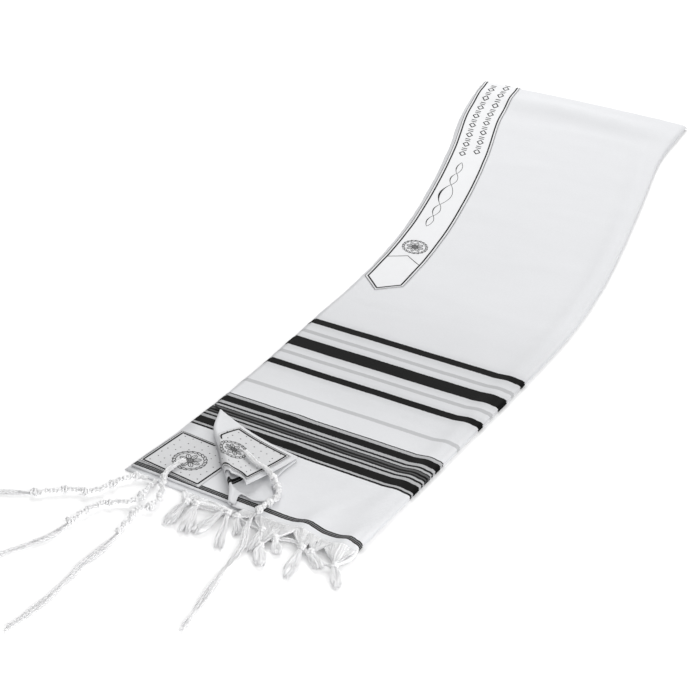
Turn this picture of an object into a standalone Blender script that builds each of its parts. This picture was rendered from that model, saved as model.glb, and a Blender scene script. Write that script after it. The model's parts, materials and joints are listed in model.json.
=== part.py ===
"""A tallit prayer shawl, folded in four and laid flat with one near corner turned back.

The cloth is one rectangle, folded along its length (fold on +X) and then across its middle
(fold on the far side, +Y). The two ends with their fringes, and the four corners with their
tzitzit, lie together at the near side. Units are metres, +Z is up, and the underside is z = 0.
"""

import math
from collections import namedtuple

import bmesh
import bpy
import numpy as np

# Cloth: thickness of one layer, and the space kept between two pieces
LAYER = 0.0011
GAP = 0.0003
TRIM = 0.0010

# Levels of the four layers, counted from the one that lies on the surface
LOWER_TOP = LAYER
THIRD_TOP = 2 * LAYER
SECOND_TOP = 3 * LAYER
TOP_UNDER = SECOND_TOP + GAP
TOP_FACE = TOP_UNDER + LAYER

# The folded shawl seen from above: a row is one weft, from the free edges to the lengthwise fold
Weft = namedtuple("Weft", "along left_x left_y right_x right_y")
PLAN = (
    Weft(0.000, -0.1215, -0.4325, 0.1180, -0.4515),
    Weft(0.088, -0.1155, -0.3500, 0.1165, -0.3620),
    Weft(0.190, -0.1136, -0.2500, 0.1154, -0.2580),
    Weft(0.320, -0.1165, -0.1200, 0.1141, -0.1270),
    Weft(0.420, -0.1198, -0.0200, 0.1100, -0.0260),
    Weft(0.520, -0.1322, 0.0800, 0.0960, 0.0750),
    Weft(0.620, -0.1550, 0.1800, 0.0735, 0.1770),
    Weft(0.710, -0.1812, 0.2700, 0.0505, 0.2690),
    Weft(0.800, -0.2120, 0.3600, 0.0272, 0.3620),
    Weft(0.885, -0.2310, 0.4430, 0.0185, 0.4490),
)
FOLDED_LENGTH = PLAN[-1].along

# Free edges of the upper layers lie a little inside the lowest one's
TOP_INSET = 0.0050
SECOND_INSET = 0.0032
THIRD_INSET = 0.0016
LOWER_HEM = 0.0000
THIRD_HEM = 0.0075
SECOND_HEM = 0.0040
TOP_HEM = 0.0020

# Folds: how far the top layer reaches round them, and the level at which it ends
FOLD_REACH = 0.0050
SIDE_FOLD_LOW = THIRD_TOP + 0.0009
FAR_FOLD_LOW = 0.0009
FOLD_STEPS = 4

# Soft ridges of the top layer, as height, centre and width along and across the cloth
Swell = namedtuple("Swell", "height along along_width across across_width")
SWELLS = (
    Swell(0.0030, 0.862, 0.020, 0.125, 0.160),
    Swell(0.0012, 0.790, 0.030, 0.130, 0.120),
    Swell(0.0022, 0.560, 0.280, 0.216, 0.0085),
    Swell(0.0018, 0.160, 0.120, 0.217, 0.0085),
    Swell(0.0042, 0.004, 0.040, 0.186, 0.0110),
    Swell(0.0040, 0.006, 0.036, 0.228, 0.0080),
)

# The turned-back corner: a row crosses from the roll's outer side to the flap's free edge
Turn = namedtuple("Turn", "share fold_x fold_y tip_x tip_y bow roll_top tip_top")
OUTER_TURN = (
    Turn(0.00, -0.0983, -0.3156, 0.0044, -0.3502, 0.0040, 0.0085, 0.0082),
    Turn(0.33, -0.0850, -0.3465, 0.0010, -0.3730, 0.0015, 0.0105, 0.0092),
    Turn(0.66, -0.0640, -0.3710, -0.0025, -0.3960, 0.0000, 0.0130, 0.0115),
    Turn(1.00, -0.0438, -0.3959, -0.0059, -0.4189, -0.0020, 0.0150, 0.0150),
)
INNER_TURN = (
    Turn(0.00, -0.0954, -0.3176, 0.0066, -0.3520, 0.0040, 0.0068, 0.0062),
    Turn(0.26, -0.0810, -0.3488, 0.0080, -0.3760, 0.0015, 0.0084, 0.0062),
    Turn(0.50, -0.0596, -0.3738, 0.0115, -0.3980, 0.0000, 0.0100, 0.0062),
    Turn(0.70, -0.0392, -0.3992, 0.0165, -0.4130, 0.0000, 0.0104, 0.0062),
    Turn(0.82, -0.0300, -0.4110, 0.0130, -0.4215, 0.0000, 0.0098, 0.0062),
    Turn(0.91, -0.0190, -0.4250, -0.0020, -0.4265, 0.0000, 0.0092, 0.0062),
    Turn(1.00, -0.0085, -0.4385, 0.0005, -0.4375, 0.0000, 0.0084, 0.0062),
)
OUTER_LOW = THIRD_TOP + GAP
INNER_LOW = SECOND_TOP + 2 * GAP
FLAP_SAG = 0.0006
CUT_CLEARANCE = 0.0014
CUT_LEAD = ((-0.0030, 0.0060), (-0.0190, 0.0130))

# The hidden layers: how their edges and folds are rounded, and how far each is kept from a fold
BLUNT_EDGE = 0.0003
LAYER_NOSE = 0.0005
FOLD_NOSE = 0.0011
FOLD_SHOULDER = 0.3
LAYER_BITE = 0.00005
FAR_CLEARANCE = 0.0015
LOWER_SIDE_INSET = 0.0120
SECOND_SIDE_INSET = FOLD_REACH + 0.0012
HIDDEN_START = 0.0200
HIDDEN_STEPS = 20
CUT_OVERTAKE = 0.0030

# Corner patches
PATCH_RISE = GAP
PATCH_A_GAP = 0.0004
PATCH_A_ROWS = 9
PATCH_A_COLUMNS = 5
PATCH_A_CORNERS = ((-0.1118, -0.3560), (-0.1182, -0.4160), (-0.0530, -0.4260), (-0.0440, -0.3640))
PATCH_B_SHARES = (0.055, 0.965)
PATCH_B_START = 0.036
PATCH_B_TOP_SHARE = 0.36
PATCH_B_SIDE_SHARE = 0.76
PATCH_B_MARGIN = 0.0050
PATCH_B_LEAST_STEP = 0.0006

# Neckband: it runs from the middle of the neck edge, at the far fold, to a pointed end
BAND_LEFT = 0.0058
BAND_WIDTH = 0.0440
BAND_END = 0.4130
BAND_POINT = 0.0200
BAND_TIP_STEP = 0.0120
BAND_ROWS = 20
BAND_COLUMNS = 5

# Tzitzit: radii of the loop, the wound stretch and its knots, and of one loose strand
LOOP_RADIUS = 0.0014
WOUND_RADIUS = 0.0018
KNOT_RADIUS = 0.0030
STRAND_RADIUS = 0.0006
STRAND_COUNT = 8
STRAND_SPACING = 0.0020
STRAND_LIFT = 0.0018
STRAND_STEPS = 9
PATH_STEPS = 60
HEAD_STEPS = 31
KNOT_SHARES = (0.05, 0.97)
KNOT_LENGTH = 0.035

# Routes of the tzitzit, from the corner's hole to the strand ends
Stop = namedtuple("Stop", "x y z")
ROUTES = {
    "tzitzit_1": (
        Stop(-0.0950, -0.4364, 0.0022),
        Stop(-0.1050, -0.4400, 0.0036),
        Stop(-0.1133, -0.4540, 0.0036),
        Stop(-0.1226, -0.4770, 0.0036),
        Stop(-0.1440, -0.4862, 0.0034),
        Stop(-0.1600, -0.5000, 0.0032),
        Stop(-0.1922, -0.5150, 0.0028),
        Stop(-0.2280, -0.5330, 0.0026),
        Stop(-0.2600, -0.5600, 0.0026),
        Stop(-0.2800, -0.5900, 0.0026),
    ),
    "tzitzit_2": (
        Stop(-0.0865, -0.4358, 0.0021),
        Stop(-0.0850, -0.4560, 0.0036),
        Stop(-0.0840, -0.4725, 0.0036),
        Stop(-0.0925, -0.4800, 0.0036),
        Stop(-0.1045, -0.4887, 0.0036),
        Stop(-0.1100, -0.5020, 0.0036),
        Stop(-0.1130, -0.5250, 0.0032),
        Stop(-0.1160, -0.5480, 0.0028),
        Stop(-0.1240, -0.5680, 0.0026),
        Stop(-0.1368, -0.5928, 0.0026),
        Stop(-0.1480, -0.6300, 0.0026),
        Stop(-0.1530, -0.6700, 0.0026),
    ),
    "tzitzit_3": (
        Stop(-0.0806, -0.3997, 0.0054),
        Stop(-0.0838, -0.4180, 0.0056),
        Stop(-0.0800, -0.4330, 0.0066),
        Stop(-0.0706, -0.4520, 0.0044),
        Stop(-0.0668, -0.4690, 0.0036),
        Stop(-0.0732, -0.4810, 0.0036),
        Stop(-0.0715, -0.4998, 0.0036),
        Stop(-0.0694, -0.5178, 0.0036),
        Stop(-0.0680, -0.5393, 0.0032),
        Stop(-0.0690, -0.5778, 0.0028),
        Stop(-0.0664, -0.6050, 0.0026),
        Stop(-0.0668, -0.6400, 0.0026),
        Stop(-0.0694, -0.6789, 0.0026),
    ),
    "tzitzit_4": (
        Stop(-0.0351, -0.3747, 0.0152),
        Stop(-0.0180, -0.3840, 0.0148),
        Stop(-0.0020, -0.3900, 0.0142),
        Stop(0.0120, -0.3985, 0.0100),
        Stop(0.0212, -0.4120, 0.0080),
        Stop(0.0206, -0.4260, 0.0084),
        Stop(0.0180, -0.4420, 0.0088),
        Stop(0.0220, -0.4600, 0.0080),
        Stop(0.0305, -0.4834, 0.0050),
        Stop(0.0382, -0.5368, 0.0030),
        Stop(0.0445, -0.5720, 0.0026),
        Stop(0.0517, -0.6090, 0.0026),
    ),
}
WOUND_SHARE = {"tzitzit_1": 0.42, "tzitzit_2": 0.40, "tzitzit_3": 0.44, "tzitzit_4": 0.36}
LOOP_SHARE = {"tzitzit_1": 0.03, "tzitzit_2": 0.03, "tzitzit_3": 0.10, "tzitzit_4": 0.17}
KNOT_COUNT = 5

# Fringe tassels: place along the hem from its free end, then where the tuft's tip lies
Tassel = namedtuple("Tassel", "across tip_x tip_y knot_share flare")
TOP_FRINGE = (
    Tassel(0.1390, 0.0170, -0.4920, 0.40, 0.0055),
    Tassel(0.1540, 0.0480, -0.5010, 0.36, 0.0070),
    Tassel(0.1710, 0.0610, -0.5080, 0.42, 0.0065),
    Tassel(0.1880, 0.0760, -0.4990, 0.36, 0.0060),
    Tassel(0.2050, 0.0880, -0.5110, 0.40, 0.0070),
    Tassel(0.2210, 0.1090, -0.4960, 0.44, 0.0055),
    Tassel(0.2330, 0.1290, -0.5000, 0.42, 0.0060),
)
LOWER_FRINGE = (
    Tassel(0.0650, -0.0520, -0.4930, 0.42, 0.0060),
    Tassel(0.0795, -0.0380, -0.4900, 0.40, 0.0050),
    Tassel(0.0940, -0.0240, -0.5010, 0.38, 0.0060),
    Tassel(0.1095, -0.0100, -0.4930, 0.42, 0.0050),
    Tassel(0.1225, -0.0010, -0.5130, 0.44, 0.0050),
)
STRIP_STEPS = 12
STRIP_OVERHANG = (0.0040, 0.0030)
FRINGE_STRIP = 0.0022
LOCKS = 3
LOCK_RADIUS = 0.0013
LOCK_TAPER = (0.8, 0.9, 1.2, 1.5, 1.0)
LOCK_FLATTEN = 0.7
ROOT_SPREAD = 0.0016
KNOT_SPREAD = 0.0006
TASSEL_KNOT = 0.0034
KNOT_FLATTEN = 0.85
KNOT_END = 0.12
FLOOR_CLEARANCE = 0.0004

# Mesh steps
NEAR_STEPS = 13
FAR_STEPS = 16
WIDTH_STEPS = 11
ROLL_STEPS = 8
FLAP_STEPS = 8
OUTER_ROWS = 11
INNER_ROWS = 15

# Passes that bring an edge onto a slanting line
EDGE_PASSES = 4

COLLECTION = "tallit_prayer_shawl"


# Setting up
def clear_scene():
    for item in list(bpy.data.objects):
        bpy.data.objects.remove(item, do_unlink=True)
    for group in list(bpy.data.collections):
        bpy.data.collections.remove(group)
    group = bpy.data.collections.new(COLLECTION)
    bpy.context.scene.collection.children.link(group)
    return group


def cloth_material(name, colour, roughness, sheen):
    material = bpy.data.materials.new(name)
    material.use_nodes = True
    shader = material.node_tree.nodes["Principled BSDF"]
    shader.inputs["Base Color"].default_value = (*colour, 1.0)
    shader.inputs["Roughness"].default_value = roughness
    shader.inputs["Metallic"].default_value = 0.0
    shader.inputs["Sheen Weight"].default_value = sheen
    return material


def add_object(name, mesh, material, group):
    item = bpy.data.objects.new(name, mesh)
    group.objects.link(item)
    mesh.materials.append(material)
    return item


# Geometry helpers
def smooth_row(table, at):
    """A table's columns at a station, on a smooth curve through its rows."""
    rows = np.array(table, dtype=float)
    stations, values = rows[:, 0], rows[:, 1:]
    slopes = np.gradient(values, stations, axis=0)
    i = int(np.clip(np.searchsorted(stations, at) - 1, 0, len(rows) - 2))
    span = stations[i + 1] - stations[i]
    t = (at - stations[i]) / span
    start = (2 * t**3 - 3 * t**2 + 1) * values[i] + (t**3 - 2 * t**2 + t) * span * slopes[i]
    end = (3 * t**2 - 2 * t**3) * values[i + 1] + (t**3 - t**2) * span * slopes[i + 1]
    return start + end


def smooth_path(stops, count):
    """Points at even distances along a smooth curve through the stops."""
    stops = np.array(stops, dtype=float)
    steps = np.linalg.norm(np.diff(stops, axis=0), axis=1)
    table = np.column_stack([np.concatenate([[0.0], np.cumsum(steps)]), stops])
    fine = np.array([smooth_row(table, at) for at in np.linspace(0, table[-1, 0], 20 * len(stops))])
    return even_points(fine, count)


def travelled(points):
    steps = np.linalg.norm(np.diff(points, axis=0), axis=1)
    return np.concatenate([[0.0], np.cumsum(steps)])


def points_at(points, distances):
    """Points at given distances along a polyline."""
    at = travelled(points)
    return np.column_stack([np.interp(distances, at, points[:, k]) for k in range(3)])


def even_points(points, count):
    return points_at(points, np.linspace(0, travelled(points)[-1], count))


def grid_mesh(name, grid):
    """An open surface through a grid of points, with its faces up."""
    rows, columns = grid.shape[:2]
    mesh = bpy.data.meshes.new(name)
    work = bmesh.new()
    verts = [[work.verts.new(point) for point in row] for row in grid]
    for i in range(rows - 1):
        for j in range(columns - 1):
            work.faces.new((verts[i][j], verts[i][j + 1], verts[i + 1][j + 1], verts[i + 1][j]))
    work.to_mesh(mesh)
    work.free()
    mesh.shade_smooth()
    return mesh


def face_normals(grid):
    """Unit normals of a grid's points, on the side that grid_mesh's faces look to."""
    down_rows = np.gradient(grid, axis=0)
    along_row = np.gradient(grid, axis=1)
    normals = np.cross(along_row, down_rows)
    return normals / np.linalg.norm(normals, axis=2, keepdims=True)


def add_wall(name, grid, thickness, material, group):
    """A cloth wall whose outer face is the grid and whose thickness lies under it."""
    item = add_object(name, grid_mesh(name, grid), material, group)
    solidify = item.modifiers.new("cloth thickness", "SOLIDIFY")
    solidify.thickness = thickness
    solidify.offset = -1.0
    solidify.use_even_offset = True
    return item


def loft_rings(work, rings):
    """A closed body through rings of points, with flat ends."""
    verts = [[work.verts.new(point) for point in ring] for ring in rings]
    sides = len(rings[0])
    for a, b in zip(verts, verts[1:]):
        for k in range(sides):
            work.faces.new((a[k], a[(k + 1) % sides], b[(k + 1) % sides], b[k]))
    work.faces.new(verts[0][::-1])
    work.faces.new(verts[-1])


def tube_rings(points, radii, sides, flatten=1.0):
    """Rings round a path, each square to it; flatten scales their height."""
    ahead = np.gradient(points, axis=0)
    ahead /= np.linalg.norm(ahead, axis=1, keepdims=True)
    side = np.cross(ahead, (0.0, 0.0, 1.0))
    side /= np.linalg.norm(side, axis=1, keepdims=True)
    up = np.cross(side, ahead)
    turns = [2 * math.pi * (k + 0.5) / sides for k in range(sides)]
    rings = []
    for point, across, rise, radius in zip(points, side, up, radii):
        ring = [
            point + radius * (math.cos(turn) * across + flatten * math.sin(turn) * rise)
            for turn in turns
        ]
        rings.append(ring)
    return rings


def finish_mesh(name, work):
    bmesh.ops.recalc_face_normals(work, faces=work.faces)
    mesh = bpy.data.meshes.new(name)
    work.to_mesh(mesh)
    work.free()
    mesh.shade_smooth()
    return mesh


def keep_outer_shell(mesh):
    """Remove the closed pockets that a union leaves between strands."""
    work = bmesh.new()
    work.from_mesh(mesh)
    shells, seen = [], set()
    for start in work.verts:
        if start in seen:
            continue
        shell, front = [], [start]
        seen.add(start)
        while front:
            vert = front.pop()
            shell.append(vert)
            for edge in vert.link_edges:
                other = edge.other_vert(vert)
                if other not in seen:
                    seen.add(other)
                    front.append(other)
        shells.append(shell)
    shells.sort(key=len)
    pockets = [vert for shell in shells[:-1] for vert in shell]
    bmesh.ops.delete(work, geom=pockets, context="VERTS")
    work.to_mesh(mesh)
    work.free()


def union_object(name, bodies, material, group):
    """One closed body from several that overlap."""
    work = bmesh.new()
    for rings in bodies[1:]:
        loft_rings(work, rings)
    others = add_object(name + "_bodies", finish_mesh(name + "_bodies", work), material, group)
    work = bmesh.new()
    loft_rings(work, bodies[0])
    item = add_object(name, finish_mesh(name, work), material, group)
    union = item.modifiers.new("union", "BOOLEAN")
    union.operation = "UNION"
    union.solver = "EXACT"
    union.use_self = True
    union.object = others
    evaluated = item.evaluated_get(bpy.context.evaluated_depsgraph_get())
    joined = bpy.data.meshes.new_from_object(evaluated)
    keep_outer_shell(joined)
    item.modifiers.remove(union)
    item.data = joined
    bpy.data.objects.remove(others, do_unlink=True)
    return item


# The turned-back corner's sections
def turn_section(table, share, low):
    """Points of one section, from the roll's underside round it and over the flap to its edge."""
    fold_x, fold_y, tip_x, tip_y, bow, roll_top, tip_top = smooth_row(table, share)
    fold, tip = np.array([fold_x, fold_y]), np.array([tip_x, tip_y])
    reach = np.linalg.norm(tip - fold)
    across = (tip - fold) / reach
    sideways = np.array([across[1], -across[0]])
    radius = (roll_top - low) / 2
    width = min(radius, reach / 2.4)
    points = []
    for turn in np.linspace(-math.pi / 2, math.pi / 2, 2 * ROLL_STEPS + 1):
        plan = fold + across * width * (1 - math.cos(turn))
        points.append((*plan, low + radius * (1 + math.sin(turn))))
    for t in np.linspace(0, 1, 2 * FLAP_STEPS + 1)[1:]:
        plan = fold + across * (width + t * (reach - width))
        plan = plan + sideways * bow * math.sin(math.pi * t)
        height = roll_top + (tip_top - roll_top) * t - FLAP_SAG * math.sin(math.pi * t)
        points.append((*plan, height))
    return np.array(points)


def turn_cut(table, low):
    """Where a flat layer stops beside the roll, from near to far and on to its free edge."""
    line = []
    for share in np.linspace(1, 0, 24):
        section = turn_section(table, share, low)
        across = section[-1, :2] - section[0, :2]
        across /= np.linalg.norm(across)
        line.append(section[0, :2] + across * CUT_CLEARANCE)
    corner = line[-1]
    line += [corner + np.array(step) for step in CUT_LEAD]
    return np.array(line)


def turn_stations(section):
    """Distances along a section at which the wall has its points."""
    at = travelled(section)
    top = at[2 * ROLL_STEPS]
    return np.concatenate(
        [np.linspace(0, top, ROLL_STEPS + 1), np.linspace(top, at[-1], FLAP_STEPS + 1)[1:]]
    )


def turn_grid(table, low, rows):
    grid = []
    for share in np.linspace(0, 1, rows):
        section = turn_section(table, share, low)
        grid.append(points_at(section, turn_stations(section)))
    return np.array(grid)


# The flat layers
def weft(along):
    left_x, left_y, right_x, right_y = smooth_row(PLAN, along)
    left, right = np.array([left_x, left_y]), np.array([right_x, right_y])
    width = np.linalg.norm(right - left)
    return left, (right - left) / width, width


def free_edge(along, inset, cut):
    """Distance from the weft's left end to a layer's edge: its selvedge, or the turned corner."""
    left, across, _ = weft(along)
    start = inset
    for _ in range(EDGE_PASSES):
        y = left[1] + across[1] * start
        if y < cut[-1, 1]:
            start = max(inset, (np.interp(y, cut[:, 1], cut[:, 0]) - left[0]) / across[0])
    return start


def station_of(point):
    """The weft that passes through a point of the plan, as its distance along the cloth."""
    low, high = 0.0, FOLDED_LENGTH
    for _ in range(40):
        along = (low + high) / 2
        left, across, _ = weft(along)
        y = left[1] + across[1] * (point[0] - left[0]) / across[0]
        low, high = (along, high) if y < point[1] else (low, along)
    return along


def cut_stations(hem, cut, end):
    """Stations of a layer along the cloth, with one at each corner of its cut."""
    corner, lead, free = (station_of(point) for point in cut[-3:])
    near = np.linspace(hem, corner, NEAR_STEPS)
    far = np.linspace(free, end, FAR_STEPS)
    return np.concatenate([near, [lead], far])


def swell(along, across):
    total = 0.0
    for ridge in SWELLS:
        lengthwise = (along - ridge.along) / ridge.along_width
        crosswise = (across - ridge.across) / ridge.across_width
        total += ridge.height * math.exp(-(lengthwise**2) - crosswise**2)
    return total


def top_point(along, across, far_turn=0.0, side_turn=0.0):
    """A point of the top layer's upper face; the turns are angles round its two folds."""
    left, direction, width = weft(along)
    plan = left + direction * across
    plan = plan + direction * FOLD_REACH * math.sin(side_turn)
    plan = plan + np.array([-direction[1], direction[0]]) * FOLD_REACH * math.sin(far_turn)
    low = SIDE_FOLD_LOW + (FAR_FOLD_LOW - SIDE_FOLD_LOW) * math.sin(far_turn)
    crest = TOP_FACE + swell(along, across)
    return (*plan, low + (crest - low) * math.cos(far_turn) * math.cos(side_turn))


def fold_turns():
    return np.linspace(0, math.pi / 2, FOLD_STEPS + 1)[1:]


def top_layer_grid(cut):
    flat_end = FOLDED_LENGTH - FOLD_REACH
    lines = [(along, 0.0) for along in cut_stations(TOP_HEM, cut, flat_end)]
    lines += [(flat_end, turn) for turn in fold_turns()]
    grid = []
    for along, far_turn in lines:
        width = weft(along)[2]
        start = free_edge(along, TOP_INSET, cut)
        flat = np.linspace(start, width - FOLD_REACH, WIDTH_STEPS + 1)
        row = [top_point(along, across, far_turn) for across in flat]
        row += [top_point(along, flat[-1], far_turn, turn) for turn in fold_turns()]
        grid.append(row)
    return np.array(grid)


def slab_rings(stations, left_inset, right_inset, low, high, nose, cut=None):
    """Rings of a flat layer: a blunt free edge on the left, and a rounded side on the right."""
    middle = (low + high) / 2
    quarter = (high - low) / 4
    rings = []
    for along in stations:
        left, direction, width = weft(along)
        start = left_inset if cut is None else free_edge(along, left_inset, cut)
        side = width - right_inset
        profile = (
            (start + BLUNT_EDGE, low),
            (start, middle),
            (start + BLUNT_EDGE, high),
            (side - nose, high),
            (side - FOLD_SHOULDER * nose, high - quarter),
            (side, middle),
            (side - FOLD_SHOULDER * nose, low + quarter),
            (side - nose, low),
        )
        rings.append([(*(left + direction * across), height) for across, height in profile])
    return rings


def add_folded_layers(material, group):
    """The three hidden layers as one body, with each layer's own edge on the free sides."""
    end = FOLDED_LENGTH - FOLD_REACH - FAR_CLEARANCE
    cut = turn_cut(OUTER_TURN, OUTER_LOW)
    beyond = turn_cut(INNER_TURN, INNER_LOW)
    beyond = beyond[beyond[:, 1] < cut[0, 1] - CUT_OVERTAKE]
    cut = np.vstack([beyond, cut])
    even = np.linspace(HIDDEN_START, end, HIDDEN_STEPS)
    lower_stations = (LOWER_HEM, *even[:-1], end - 2 * LAYER)
    second_stations = (*cut_stations(SECOND_HEM, cut, end)[:-1], end - LAYER)
    third = slab_rings((THIRD_HEM, *even), THIRD_INSET, 0.0, 0.0, THIRD_TOP, FOLD_NOSE)
    lower = slab_rings(lower_stations, 0.0, LOWER_SIDE_INSET, 0.0, LOWER_TOP, LAYER_NOSE)
    second = slab_rings(
        second_stations,
        SECOND_INSET,
        SECOND_SIDE_INSET,
        THIRD_TOP - LAYER_BITE,
        SECOND_TOP,
        LAYER_NOSE,
        cut,
    )
    return union_object("folded_layers", (third, lower, second), material, group)


# Trims
def add_patch_a(material, group):
    """The corner patch that lies face up on the third layer, beside the turned corner's roll."""
    top_left, bottom_left, bottom_right, top_right = (np.array(c) for c in PATCH_A_CORNERS)
    level = THIRD_TOP + PATCH_RISE + TRIM
    sections = [turn_section(OUTER_TURN, share, OUTER_LOW) for share in np.linspace(1, 0, 12)]
    fold = np.array([section[ROLL_STEPS, :2] for section in sections])
    grid = []
    for t in np.linspace(0, 1, PATCH_A_ROWS):
        left = bottom_left + (top_left - bottom_left) * t
        right = bottom_right + (top_right - bottom_right) * t
        for _ in range(EDGE_PASSES):
            limit = np.interp(right[1], fold[:, 1], fold[:, 0]) - PATCH_A_GAP
            if right[1] > fold[0, 1] and right[0] > limit:
                right = left + (right - left) * (limit - left[0]) / (right[0] - left[0])
        shares = np.linspace(0, 1, PATCH_A_COLUMNS)
        grid.append([(*(left + (right - left) * share), level) for share in shares])
    return add_wall("patch_lying", np.array(grid), TRIM, material, group)


def add_patch_b(material, group):
    """The corner patch on the turned-back corner, made from the flap's own points, moved out."""
    inside = np.linspace(0, 1, OUTER_ROWS)[1:-1]
    grid = []
    for share in (PATCH_B_SHARES[0], *inside, PATCH_B_SHARES[1]):
        section = turn_section(OUTER_TURN, share, OUTER_LOW)
        stations = turn_stations(section)[ROLL_STEPS // 2:]
        side, top = stations[0], stations[ROLL_STEPS // 2]
        on_flap = 1 - (share - PATCH_B_SHARES[0]) / (PATCH_B_TOP_SHARE - PATCH_B_SHARES[0])
        round_roll = (share - PATCH_B_TOP_SHARE) / (PATCH_B_SIDE_SHARE - PATCH_B_TOP_SHARE)
        start = top + PATCH_B_START * max(0.0, on_flap)
        start -= (top - side) * min(1.0, max(0.0, round_roll))
        least = start + PATCH_B_LEAST_STEP * np.arange(len(stations))
        stations = np.minimum(np.maximum(stations, least), stations[-1] - PATCH_B_MARGIN)
        grid.append(points_at(section, stations))
    grid = np.array(grid)[::-1]
    grid = grid + face_normals(grid) * (PATCH_RISE + TRIM)
    return add_wall("patch_turned", grid, TRIM, material, group)


def add_neckband(material, group):
    """A strip sewn along the neck edge: round the far fold at one end, pointed at the other."""
    flat_end = FOLDED_LENGTH - FOLD_REACH
    grid = []
    shares = np.linspace(0, 1, BAND_COLUMNS)
    stations = np.linspace(BAND_END + BAND_TIP_STEP, flat_end, BAND_ROWS)
    for k, along in enumerate((BAND_END, *stations)):
        row = []
        for share in shares:
            point = BAND_POINT * (1 - abs(2 * share - 1)) if k == 0 else 0.0
            row.append(top_point(along - point, BAND_LEFT + BAND_WIDTH * share))
        grid.append(row)
    for turn in fold_turns()[:-1]:
        row = [top_point(flat_end, BAND_LEFT + BAND_WIDTH * share, turn) for share in shares]
        grid.append(row)
    grid = np.array(grid)
    grid = grid + face_normals(grid) * (GAP + TRIM)
    return add_wall("neckband", grid, TRIM, material, group)


# Tzitzit and fringe
def tzitzit_bodies(name):
    """A looped, wound and knotted head, and loose strands whose roots are fused into its end."""
    path = smooth_path(ROUTES[name], PATH_STEPS)
    head_count = int(PATH_STEPS * WOUND_SHARE[name])
    head = even_points(path[:head_count], HEAD_STEPS)
    at = np.linspace(0, 1, HEAD_STEPS)
    loop_end = LOOP_SHARE[name] / WOUND_SHARE[name]
    radii = np.where(at < loop_end, LOOP_RADIUS, WOUND_RADIUS)
    first_knot, last_knot = KNOT_SHARES
    for knot in np.linspace(loop_end + first_knot, last_knot, KNOT_COUNT):
        radii = np.maximum(radii, KNOT_RADIUS * np.exp(-(((at - knot) / KNOT_LENGTH) ** 2)))
    bodies = [tube_rings(head, radii, 5)]
    tail = path[head_count - 2:]
    t = np.linspace(0, 1, STRAND_STEPS)
    open_out = np.minimum(1.0, 3 * t)
    rest = STRAND_RADIUS + FLOOR_CLEARANCE
    for k in range(STRAND_COUNT):
        row, place = k % 2, k // 2
        length = 1.0 - 0.01 * ((3 * k) % 5)
        strand = points_at(tail, t * length * travelled(tail)[-1])
        ahead = np.gradient(strand, axis=0)
        side = np.column_stack([ahead[:, 1], -ahead[:, 0]])
        side /= np.linalg.norm(side, axis=1, keepdims=True)
        across = (place - STRAND_COUNT / 4 + 0.25 + 0.5 * row) * STRAND_SPACING
        strand[:, :2] += side * (across * open_out)[:, None]
        strand[:, 2] = np.maximum(strand[:, 2] - STRAND_SPACING / 2, rest)
        strand[:, 2] += row * STRAND_LIFT * open_out
        bodies.append(tube_rings(strand, np.full(STRAND_STEPS, STRAND_RADIUS), 3))
    return bodies


def lower_hem(across):
    """The lowest layer's hem: a point of its edge, and the level of the fringe there."""
    left, direction, _ = weft(LOWER_HEM)
    return np.array([*(left + direction * across), FLOOR_CLEARANCE])


def top_hem(across):
    point = np.array(top_point(TOP_HEM, across))
    point[2] -= LAYER
    return point


def strip_point(hem, across):
    """The middle of the fringe's strip, just outside a hem."""
    _, direction, _ = weft(LOWER_HEM)
    outward = np.array([direction[1], -direction[0], 0.0])
    return hem(across) + outward * (GAP + FRINGE_STRIP / 2)


def strip_rings(tassels, hem):
    _, direction, _ = weft(LOWER_HEM)
    half = np.array([direction[1], -direction[0], 0.0]) * FRINGE_STRIP / 2
    rise = np.array([0.0, 0.0, LAYER])
    rings = []
    start = tassels[0].across - STRIP_OVERHANG[0]
    end = tassels[-1].across + STRIP_OVERHANG[1]
    for across in np.linspace(start, end, STRIP_STEPS):
        middle = strip_point(hem, across)
        rings.append([middle + half, middle - half, middle - half + rise, middle + half + rise])
    return rings


def tassel_bodies(tassel, hem, order):
    """Locks that leave the strip together, pass through a knot and flare out to their tips."""
    root = strip_point(hem, tassel.across) + np.array([0.0, 0.0, 0.6 * LAYER])
    rest = LOCK_RADIUS + FLOOR_CLEARANCE + GAP
    tip = np.array([tassel.tip_x, tassel.tip_y, rest])
    run = tip - root
    side = np.array([run[1], -run[0], 0.0])
    side /= np.linalg.norm(side)
    knot = root + run * tassel.knot_share
    knot[2] = max(TASSEL_KNOT + FLOOR_CLEARANCE, root[2] - TRIM)
    bodies = []
    for k in range(LOCKS):
        spread = (k - (LOCKS - 1) / 2) / ((LOCKS - 1) / 2)
        fall = (tip - knot) * (1.0 - 0.10 * ((2 * k + order) % 3))
        stops = (
            root + side * ROOT_SPREAD * spread,
            knot + side * KNOT_SPREAD * spread,
            knot + fall / 2 + side * tassel.flare * 0.75 * spread,
            knot + fall + side * tassel.flare * spread,
        )
        path = smooth_path(stops, len(LOCK_TAPER))
        path[1:, 2] = np.maximum(path[1:, 2], rest)
        radii = LOCK_RADIUS * np.array(LOCK_TAPER)
        bodies.append(tube_rings(path, radii, 3, LOCK_FLATTEN))
    ahead = run / np.linalg.norm(run)
    span = np.linspace(-1, 1, 4)
    centres = np.array([knot + ahead * TASSEL_KNOT * 0.8 * share for share in span])
    centres[:, 2] = knot[2]
    radii = TASSEL_KNOT * np.sqrt(np.maximum(KNOT_END, 1 - span**2))
    bodies.append(tube_rings(centres, radii, 5, KNOT_FLATTEN))
    return bodies


def add_fringe(name, tassels, hem, material, group):
    bodies = [strip_rings(tassels, hem)]
    for order, tassel in enumerate(tassels):
        bodies += tassel_bodies(tassel, hem, order)
    return union_object(name, bodies, material, group)


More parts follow.
